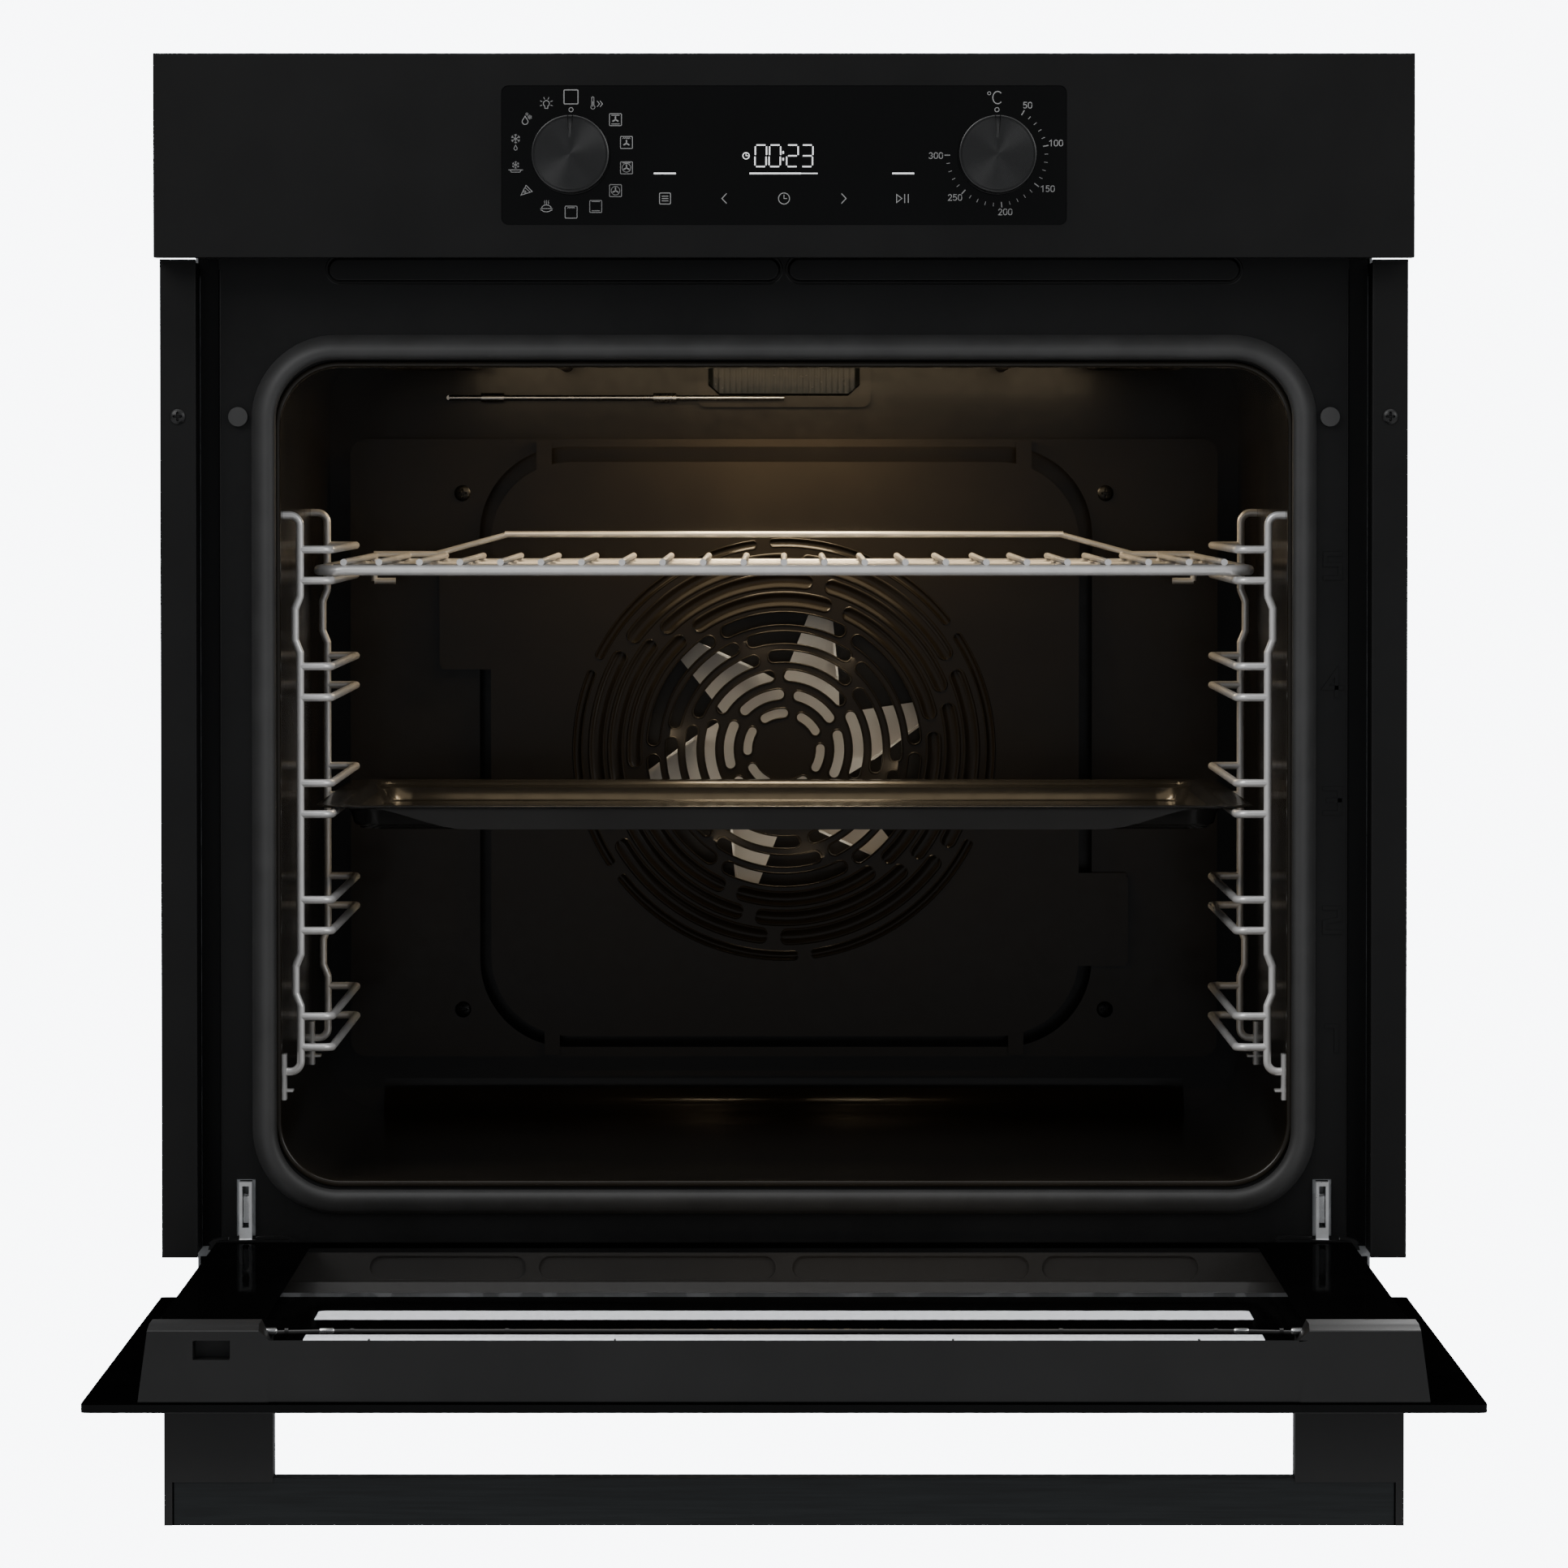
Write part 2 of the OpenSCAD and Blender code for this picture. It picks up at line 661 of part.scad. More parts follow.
// A round shaft with a flat on its front end
module control_shaft(x) difference() {
    rod_y(3, knob_front + 6, front_y + 24, x, insert_z);
    box(x - 4, x + 4, knob_front, front_y - 2, insert_z + 1.6, insert_z + 4);
}

module selector_shaft() color("#b7b9bb") control_shaft(-knob_x);

module thermostat_shaft() color("#b7b9bb") control_shaft(knob_x);

module knob(x) difference() {
    union() {
        rod_y(knob_r, knob_front, knob_front + knob_out - 1.4, x, insert_z);
        rod_y(7, knob_front + 1, front_y - 0.8, x, insert_z);
    }
    rod_y(3, knob_front + 6, front_y + 5, x, insert_z);
    difference() {
        rod_y(knob_r - 1.6, knob_front + 4, front_y + 5, x, insert_z);
        rod_y(7, knob_front, front_y + 6, x, insert_z);
    }
    box(x - 1.2, x + 1.2, knob_front - 1, knob_front + 0.8, insert_z + 10, insert_z + knob_r);
}

module left_knob() color("#1b1c1c") knob(-knob_x);

module right_knob() color("#1b1c1c") knob(knob_x);

// ---- Mains inlet ---------------------------------------------------------

terminal_x = 200;
terminal_z = 60;
inlet_r = 6;

module terminal_cover() color("#2b2c2d") difference() {
    y1 = chassis_d + sheet;
    union() {
        box(terminal_x - 34, terminal_x + 34, y1, y1 + 22, terminal_z - 26, terminal_z + 30);
        rod_z(inlet_r + 4, terminal_z - 38, terminal_z - 26 + weld, terminal_x, y1 + 11);
    }
    box(terminal_x - 32, terminal_x + 32, y1 - 1, y1 + 20, terminal_z - 24, terminal_z + 28);
    rod_z(inlet_r, terminal_z - 40, terminal_z - 20, terminal_x, y1 + 11);
}

module terminal_block() color("#e7e3d6") difference() {
    y1 = chassis_d + sheet;
    box(terminal_x - 22, terminal_x + 22, y1, y1 + 12, terminal_z + 4, terminal_z + 24);
    for (x = [-15:10:15]) rod_y(2.2, y1 + 5, y1 + 13, terminal_x + x, terminal_z + 18);
    for (x = [-15:10:15]) rod_z(2, terminal_z, terminal_z + 12, terminal_x + x, y1 + 6);
}

// ---- Hinges --------------------------------------------------------------

module hinge_receivers() color("#b7b9bb") both() difference() {
    box(arm_x0 - 2.2, arm_x1 + 2.2, frame_y + sheet, 90, 28, 64);
    box(arm_x0, arm_x1, frame_y, 86, 33.6, 59.6);
}

module hinge_arms() color("#c6c8ca") both() difference() {
    union() {
        box(arm_x0, arm_x1, frame_y - 4.6, 82, 34, 59);
        translate([arm_x0, 0, 0]) rotate([90, 0, 90]) linear_extrude(arm_x1 - arm_x0)
            polygon([[pivot_y - 5, pivot_z + 5], [pivot_y + 4, pivot_z - 6.2],
                     [frame_y - 1, 24], [frame_y - 1, 36], [frame_y - 4.6, 36],
                     [frame_y - 4.6, 32]]);
        rod_x(eye_r, arm_x0, arm_x1, pivot_y, pivot_z);
    }
    rod_x(pin_r + running, arm_x0 - 2, arm_x1 + 2, pivot_y, pivot_z);
    box(arm_x0 + 1.4, arm_x1 - 1.4, frame_y - 8, frame_y + 20, 37, 57);
    rod_x(lock_pin_r + running, arm_x0 - 1, arm_x1 + 1, lock_y + 6, lock_z);
}

// The catch that locks the arm when the door is lifted off
module hinge_lock() {
    x0 = arm_x0 + 1.4 + air;
    x1 = arm_x1 - 1.4 - air;
    rod_x(2.2, x0, x1, lock_y + 6, lock_z);
    box(x0, x1, lock_y + 4.6, lock_y + 6.6, lock_z, lock_z + 12);
    rod_x(lock_pin_r, arm_x0 + 0.1, arm_x1 - 0.1, lock_y + 6, lock_z);
}

module left_hinge_lock() color("#e3e5e7") mirror([1, 0, 0]) hinge_lock();

module right_hinge_lock() color("#e3e5e7") hinge_lock();

// ---- Door, drawn closed and turned open ----------------------------------

module door_outer_glass() color("#0b0d0d", 0.9) opened() difference() {
    upright(front_y, glass_t)
        round_rect(-front_w / 2, front_w / 2, door_bottom, door_top, 3);
    both() rod_y(3.2, front_y - 2, front_y + 8, handle_w / 2 - 25, handle_z);
}

module door_middle_glass() color("#1a1c1c", 0.5) opened()
    upright(front_y + 17, glass_t) round_rect(-246, 246, 104, block_z - 3, 3);

module door_inner_glass() color("#0b0c0c", 0.6) opened()
    upright(door_inner_y - glass_t, glass_t) round_rect(-269, 269, 37, 462, 3);

module door_side_profiles() color("#151515") opened() both() {
    y0 = front_y + glass_t;
    y1 = door_inner_y - glass_t;
    box(268, 270, y0, y1, 37, block_z - 1);
    box(248, 270, y0, y0 + 1.5, 37, block_z - 1);
    box(248, 270, y1 - 1.5, y1, 37, block_z - 1);
    box(246, 249.5, front_y + 14, front_y + 17, 104, block_z - 1);
    box(248, 249.5, y0, front_y + 17, 104, block_z - 1);
    box(246.4, 247.6, front_y + 16.8, y1, 104, block_z - 1);
    box(246.4, 250, y1 - 1.5, y1, 104, block_z - 1);
}

// The door's top trim: a long bar with a block at each end and vent gaps behind the bar
module door_top_trim() color("#242424") opened() difference() {
    y0 = front_y + glass_t;
    union() {
        box(-222, 222, y0, door_inner_y - 2, trim_top - 12, trim_top);
        both() box(218, 272, y0, door_inner_y + 3, block_z + 26, trim_top);
        both() box(218, 270, y0, door_inner_y - glass_t, block_z, block_z + 26 + weld);
        both() rod_z(3, block_z + 26, trim_top, 271, door_inner_y);
        both() for (x = [72, 176]) box(x - 0.8, x + 0.8, y0 + 6, door_inner_y - 4,
                                       462 + air, trim_top - 12 + weld);
    }
    box(-249, -234, door_inner_y - 9, door_inner_y - 1, trim_top - 5, trim_top + 1);
    both() rod_y(6, y0 - 1, y0 + 6, handle_w / 2 - 25, handle_z);
}

// Four round-ended bars in a row, drawn in X and Y across the thickness of the closed door
module bead_row(r)
    for (s = [-1, 1], span = [[4, 116], [122, 196]])
        slot(min(s * span[0], s * span[1]), max(s * span[0], s * span[1]), -0.5, r);

// The sheet across the inside of the door near its lower end, with four pressed beads
module door_crossbar() color("#1e1e1e") opened() {
    z = 43;
    y0 = front_y + 10;
    y1 = door_inner_y - glass_t - air;
    lip = 4.3;
    difference() {
        union() {
            translate([-246, 0, 0]) rotate([90, 0, 90]) linear_extrude(492) polygon([
                [y1, z], [y0 + lip, z], [y0, z + lip - 1], [y0, z + lip + 0.8],
                [y0 + lip + 0.4, z + 1.2], [y1, z + 1.2]
            ]);
            translate([0, 0, z - 1.5]) linear_extrude(1.8) bead_row(6.4);
        }
        translate([0, 0, z - 0.4]) linear_extrude(3) bead_row(5.6);
    }
}

module hinge_cases() color("#b7b9bb") opened() both() difference() {
    union() {
        for (x = [case_x0, case_x1 - 1.5]) {
            box(x, x + 1.5, front_y + glass_t + 2, pivot_y + 6, 24, 190);
            rod_x(8, x, x + 1.5, pivot_y, pivot_z);
            box(x, x + 1.5, pivot_y - 8, pivot_y + 7, pivot_z, 36);
        }
        box(case_x0, case_x1, front_y + glass_t + 2, front_y + glass_t + 3.5, 30, 190);
    }
    rod_x(pin_r, case_x0 - 2, case_x1 + 2, pivot_y, pivot_z);
}

module hinge_pins() color("#dfe1e3") opened() both()
    rod_x(pin_r, case_x0 - 1, case_x1 + 1, pivot_y, pivot_z);

// The balance springs, each drawn as a row of touching coils on a core
module hinge_springs() color("#8a8c8e") opened() both() {
    coil = 3;
    z0 = 70;
    turns = 30;
    r_core = 2.4;
    r_coil = 4.5;
    translate([(case_x0 + case_x1) / 2, pivot_y - 3, z0]) {
        rotate_extrude() polygon([
            [0, 0],
            for (k = [0:turns - 1], q = [[r_core + 1, 0], [r_coil, 1], [r_coil, 2]])
                [q[0], (k + q[1] / 3) * coil],
            [0, turns * coil]
        ]);
        translate([0, 0, -20]) cylinder(r = 1.5, h = turns * coil + 30);
    }
}

// ---- Handle --------------------------------------------------------------

module handle_bar() color("#2b2e30") opened()
    upright(front_y - handle_gap - handle_d, handle_d)
        round_rect(-handle_w / 2 + 3.5, handle_w / 2 - 3.5, handle_z - handle_t / 2,
                   handle_z + handle_t / 2, 1);

module handle_brackets() color("#161616") opened() both() {
    x1 = handle_w / 2;
    y1 = front_y - handle_gap;
    z0 = handle_z - handle_t / 2 - 1;
    z1 = handle_z + handle_t / 2 + 1;
    lip = 1.6;
    difference() {
        union() {
            box(x1 - bracket_w, x1, y1, front_y, z0, z1);
            box(x1 - 3.5, x1, y1 - handle_d, y1 + weld, z0, z1);
            box(x1 - bracket_w, x1, y1 - lip, y1 + weld, z1 - 1, z1);
            box(x1 - bracket_w, x1, y1 - lip, y1 + weld, z0, z0 + 1);
        }
        rod_y(2.5, front_y - 16, front_y + 2, x1 - 25, handle_z);
    }
}

module handle_screws() color("#b7b9bb") opened() both() {
    x = handle_w / 2 - 25;
    rod_y(2.5, front_y - 15, front_y + glass_t + weld, x, handle_z);
    rod_y(5, front_y + glass_t, front_y + glass_t + 3, x, handle_z);
}

// ---- Shelf and tray ------------------------------------------------------

shelf_w = 454;
shelf_y0 = 58;
shelf_y1 = 400;
shelf_bar = 2.5;
shelf_wire = 1.6;
shelf_z = rung_z + shelf_level * level_step + rack_wire + shelf_bar + air;

module wire_shelf() color("#b4b4b2") {
    corner = 12;
    x = shelf_w / 2 - shelf_bar;
    y0 = shelf_y0 + shelf_bar;
    y1 = shelf_y1 - shelf_bar;
    top = shelf_z + shelf_bar + shelf_wire - weld;
    for (y = [y0, y1]) rod_x(shelf_bar, -x + corner, x - corner, y, shelf_z);
    both() {
        rod_y(shelf_bar, y0 + corner, y1 - corner, x, shelf_z);
        translate([x - corner, y1 - corner, shelf_z]) bend(shelf_bar, corner);
        translate([x - corner, y0 + corner, shelf_z]) rotate([0, 0, 270])
            bend(shelf_bar, corner);
    }
    for (k = [-10:10]) rod_y(shelf_wire, y0 - 1.5, y1 + 1.5, k * 19.5, top);
    both() rod_y(shelf_wire, y0 - 1.5, y1 + 1.5, 212, top);
    for (y = [170, 285]) rod_x(2, -x, x, y, shelf_z);
    high = top + 11;
    rod_x(shelf_wire, -145, 145, y1 + 2, high);
    both() {
        strut([144, y1 + 2, high - weld], [181, y1 + 2, top + 0.8], shelf_wire - weld / 2);
        rod_x(shelf_wire, 180, 213, y1 + 2, top + 0.8);
        rod_z(shelf_wire, shelf_z - 9, top, 212, y1 - 14);
        rod_x(shelf_wire, 201, 212, y1 - 14, shelf_z - 9);
    }
}

tray_w = 454;
tray_y0 = 58;
tray_y1 = 440;
tray_deep = 12;
tray_z = rung_z + tray_level * level_step + rack_wire + air;

// A level slab of the tray's outline, drawn in from its rim by an inset
module tray_slab(inset, z, h, r) translate([0, 0, z]) linear_extrude(h)
    round_rect(-tray_w / 2 + inset, tray_w / 2 - inset, tray_y0 + inset, tray_y1 - inset, r);

module baking_tray() color("#2a2724") {
    rim = 1.2;
    skin = 0.4;
    wall = 1.2;
    rim_w = tray_w / 2 - rung_x + rack_wire + 1.2;
    foot_inset = rim_w + 4.5;
    bottom = tray_z + rim - tray_deep;
    difference() {
        union() {
            tray_slab(0, tray_z, rim, 14);
            hull() {
                tray_slab(foot_inset, bottom, skin, 12, $fn = 32);
                tray_slab(rim_w, tray_z + rim - skin, skin, 12, $fn = 32);
            }
        }
        hull() {
            tray_slab(foot_inset + wall, bottom + wall, skin, 11, $fn = 32);
            tray_slab(rim_w + wall, tray_z + rim + skin, skin, 11, $fn = 32);
        }
    }
}

base_pan();
left_side_panel();
right_side_panel();
top_cover();
rear_cover();
front_frame();
left_side_trim();
right_side_trim();
cabinet_screws();
door_buffers();
cavity();
fan_baffle();
baffle_screws();
door_seal();
left_rack();
right_rack();
rack_clips();
grill_element();
ring_element();
bottom_element();
lamp_housing();
lamp_lens();
lamp_bulb();
temperature_probe();
insulation();
fan_motor();
fan_wheel();
blower_housing();
blower_motor();
blower_rotor();
control_panel();
control_insert();
control_board();
selector_switch();
thermostat();
selector_shaft();
thermostat_shaft();
left_knob();
right_knob();
terminal_cover();
terminal_block();
hinge_receivers();
hinge_arms();
left_hinge_lock();
right_hinge_lock();
door_outer_glass();
door_middle_glass();
door_inner_glass();
door_side_profiles();
door_top_trim();
door_crossbar();
hinge_cases();
hinge_pins();
hinge_springs();
handle_bar();
handle_brackets();
handle_screws();
wire_shelf();
baking_tray();
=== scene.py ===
"""A built-in electric wall oven with its drop-down door open, dressed round its CAD frame."""

import json
from itertools import product
from math import cos, pi, radians, sin, sqrt

import bmesh
import bpy
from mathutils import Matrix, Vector, noise


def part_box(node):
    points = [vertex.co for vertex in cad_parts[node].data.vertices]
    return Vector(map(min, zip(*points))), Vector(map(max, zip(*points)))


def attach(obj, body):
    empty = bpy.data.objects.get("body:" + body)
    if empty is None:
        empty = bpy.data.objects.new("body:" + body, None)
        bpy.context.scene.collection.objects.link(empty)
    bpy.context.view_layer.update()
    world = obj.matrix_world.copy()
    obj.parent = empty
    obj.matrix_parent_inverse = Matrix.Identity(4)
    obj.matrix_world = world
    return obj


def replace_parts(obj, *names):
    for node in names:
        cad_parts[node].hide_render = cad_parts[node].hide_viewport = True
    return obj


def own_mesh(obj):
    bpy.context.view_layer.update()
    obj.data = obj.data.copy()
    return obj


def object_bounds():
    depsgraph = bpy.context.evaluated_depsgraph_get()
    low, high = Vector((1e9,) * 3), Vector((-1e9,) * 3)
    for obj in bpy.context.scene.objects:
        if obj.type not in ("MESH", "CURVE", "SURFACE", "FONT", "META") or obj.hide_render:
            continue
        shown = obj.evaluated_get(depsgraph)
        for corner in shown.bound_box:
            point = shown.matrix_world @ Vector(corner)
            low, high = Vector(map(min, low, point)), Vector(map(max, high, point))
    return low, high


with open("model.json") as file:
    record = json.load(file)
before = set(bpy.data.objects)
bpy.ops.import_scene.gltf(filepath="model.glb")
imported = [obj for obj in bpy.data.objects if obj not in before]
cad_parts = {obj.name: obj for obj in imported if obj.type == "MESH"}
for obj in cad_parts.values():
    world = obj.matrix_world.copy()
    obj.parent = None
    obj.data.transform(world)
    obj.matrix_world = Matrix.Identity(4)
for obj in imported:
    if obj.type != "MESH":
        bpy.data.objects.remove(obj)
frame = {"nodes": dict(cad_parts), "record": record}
CAD_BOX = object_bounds()

MM = 0.001
TAU = 2 * pi

# ---- CAD places, in mm


def node_box(name):
    """The lowest and highest corner of a CAD node, in mm."""
    lo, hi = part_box(name)
    return [c / MM for c in lo], [c / MM for c in hi]


# ---- materials


def new_material(name):
    material = bpy.data.materials.new(name)
    material.use_nodes = True
    tree = material.node_tree
    return material, tree, tree.nodes["Principled BSDF"]


def settle(node, **values):
    """Sets some of a node's sockets by name."""
    for name, value in values.items():
        node.inputs[name].default_value = value


def coords(tree, scale=(1, 1, 1)):
    """Object coordinates, stretched, so that a pattern stays with its body."""
    place = tree.nodes.new("ShaderNodeTexCoord")
    mapping = tree.nodes.new("ShaderNodeMapping")
    mapping.inputs["Scale"].default_value = scale
    tree.links.new(place.outputs["Object"], mapping.inputs["Vector"])
    return mapping.outputs["Vector"]


def noise_node(tree, vector, scale, detail=4.0, roughness=0.55):
    node = tree.nodes.new("ShaderNodeTexNoise")
    settle(node, Scale=scale, Detail=detail, Roughness=roughness)
    tree.links.new(vector, node.inputs["Vector"])
    return node.outputs["Fac"]


def ramp(tree, fac, low, high, a=0.3, b=0.7):
    node = tree.nodes.new("ShaderNodeValToRGB")
    node.color_ramp.elements[0].position = a
    node.color_ramp.elements[1].position = b
    node.color_ramp.elements[0].color = (*low, 1)
    node.color_ramp.elements[1].color = (*high, 1)
    tree.links.new(fac, node.inputs["Fac"])
    return node.outputs["Color"]


def spread(tree, fac, low, high):
    node = tree.nodes.new("ShaderNodeMapRange")
    node.inputs["From Min"].default_value = 0.3
    node.inputs["From Max"].default_value = 0.7
    node.inputs["To Min"].default_value = low
    node.inputs["To Max"].default_value = high
    tree.links.new(fac, node.inputs["Value"])
    return node.outputs["Result"]


def bump(tree, height, strength, distance):
    node = tree.nodes.new("ShaderNodeBump")
    settle(node, Strength=strength, Distance=distance)
    tree.links.new(height, node.inputs["Height"])
    return node.outputs["Normal"]


def surface(name, low, high, rough, metallic=0.0, colour_scale=18, stretch=(1, 1, 1),
            grain=(900, 0.15, 0.00004), coat=0.0, specular=0.5, grain_stretch=None):
    """A coated, plated or moulded surface: clouded colour and roughness, and a fine grain.

    The grain is a noise scale, a bump strength and a bump depth in metres.
    """
    material, tree, bsdf = new_material(name)
    vector = coords(tree, stretch)
    clouds = noise_node(tree, vector, colour_scale)
    tree.links.new(ramp(tree, clouds, low, high), bsdf.inputs["Base Color"])
    fine_vector = coords(tree, grain_stretch) if grain_stretch else vector
    grain_scale, *relief = grain
    fine = noise_node(tree, fine_vector, grain_scale, 2.0)
    mix = tree.nodes.new("ShaderNodeMix")
    mix.inputs[0].default_value = 0.5
    tree.links.new(clouds, mix.inputs[2])
    tree.links.new(fine, mix.inputs[3])
    tree.links.new(spread(tree, mix.outputs[0], *rough), bsdf.inputs["Roughness"])
    tree.links.new(bump(tree, fine, *relief), bsdf.inputs["Normal"])
    bsdf.inputs["Metallic"].default_value = metallic
    bsdf.inputs["Specular IOR Level"].default_value = specular
    if coat:
        bsdf.inputs["Coat Weight"].default_value = coat
        bsdf.inputs["Coat Roughness"].default_value = 0.08
    return material


def grey(value, warm=0.0):
    return (value * (1 + warm), value, value * (1 - warm))


def galvanised(name):
    """Zinc-coated sheet: a mosaic of crystals under a fine grain."""
    material, tree, bsdf = new_material(name)
    vector = coords(tree)
    cells = tree.nodes.new("ShaderNodeTexVoronoi")
    cells.inputs["Scale"].default_value = 110
    tree.links.new(vector, cells.inputs["Vector"])
    shade = tree.nodes.new("ShaderNodeSeparateColor")
    tree.links.new(cells.outputs["Color"], shade.inputs["Color"])
    tree.links.new(ramp(tree, shade.outputs["Red"], (0.36, 0.37, 0.38), (0.46, 0.47, 0.48),
                        0.0, 1.0), bsdf.inputs["Base Color"])
    tree.links.new(spread(tree, shade.outputs["Green"], 0.34, 0.48), bsdf.inputs["Roughness"])
    fine = noise_node(tree, vector, 700, 2.0)
    tree.links.new(bump(tree, fine, 0.1, 0.00004), bsdf.inputs["Normal"])
    bsdf.inputs["Metallic"].default_value = 0.9
    return material


def spun(name):
    """Anodised metal turned on a lathe round Y: fine rings, with the bow-tie sheen they give."""
    material, tree, bsdf = new_material(name)
    place = tree.nodes.new("ShaderNodeTexCoord")
    rings = tree.nodes.new("ShaderNodeTexWave")
    rings.wave_type = "RINGS"
    rings.rings_direction = "Y"
    settle(rings, Scale=900, Distortion=0.6, Detail=2)
    tree.links.new(place.outputs["Object"], rings.inputs["Vector"])
    tree.links.new(ramp(tree, rings.outputs["Fac"], grey(0.045), grey(0.08), 0.0, 1.0),
                   bsdf.inputs["Base Color"])
    tree.links.new(spread(tree, rings.outputs["Fac"], 0.24, 0.32), bsdf.inputs["Roughness"])
    tree.links.new(bump(tree, rings.outputs["Fac"], 0.25, 0.00003), bsdf.inputs["Normal"])
    tangent = tree.nodes.new("ShaderNodeTangent")
    tangent.direction_type = "RADIAL"
    tangent.axis = "Y"
    tree.links.new(tangent.outputs["Tangent"], bsdf.inputs["Tangent"])
    bsdf.inputs["Metallic"].default_value = 1.0
    bsdf.inputs["Anisotropic"].default_value = 0.85
    return material


def glow(name, colour, strength):
    """A lit segment of a display: emission with a faint flicker of its phosphor."""
    material, tree, bsdf = new_material(name)
    fac = noise_node(tree, coords(tree), 600)
    shade = ramp(tree, fac, tuple(c * 0.85 for c in colour), colour)
    tree.links.new(shade, bsdf.inputs["Emission Color"])
    bsdf.inputs["Base Color"].default_value = (*grey(0.8), 1)
    bsdf.inputs["Roughness"].default_value = 0.4
    bsdf.inputs["Emission Strength"].default_value = strength
    return material


def pane(name, tint, alpha, specular=0.01):
    """Thin tempered glass, clear or tinted, with a faint dusting that breaks its gloss."""
    material, tree, bsdf = new_material(name)
    fac = noise_node(tree, coords(tree), 40)
    tree.links.new(ramp(tree, fac, tint, tuple(min(1, c * 1.2) for c in tint)),
                   bsdf.inputs["Base Color"])
    tree.links.new(spread(tree, fac, 0.02, 0.05), bsdf.inputs["Roughness"])
    bsdf.inputs["Alpha"].default_value = alpha
    bsdf.inputs["Specular IOR Level"].default_value = specular
    return material


def board_material(name):
    """Green solder resist with paler tracks."""
    material, tree, bsdf = new_material(name)
    bricks = tree.nodes.new("ShaderNodeTexBrick")
    settle(bricks, Scale=260, Color1=(0.012, 0.09, 0.035, 1), Color2=(0.016, 0.12, 0.045, 1),
           Mortar=(0.03, 0.2, 0.08, 1))
    tree.links.new(coords(tree), bricks.inputs["Vector"])
    tree.links.new(bricks.outputs["Color"], bsdf.inputs["Base Color"])
    bsdf.inputs["Roughness"].default_value = 0.35
    return material


def wool(name):
    """Glass-wool felt: matted fibres in two directions."""
    material, tree, bsdf = new_material(name)
    fibres = noise_node(tree, coords(tree, (1, 9, 1)), 260, 6.0, 0.7)
    tufts = noise_node(tree, coords(tree), 60, 5.0)
    tree.links.new(ramp(tree, tufts, (0.5, 0.4, 0.16), (0.78, 0.68, 0.36)),
                   bsdf.inputs["Base Color"])
    tree.links.new(bump(tree, fibres, 0.8, 0.0006), bsdf.inputs["Normal"])
    bsdf.inputs["Roughness"].default_value = 0.95
    bsdf.inputs["Sheen Weight"].default_value = 0.3
    return material


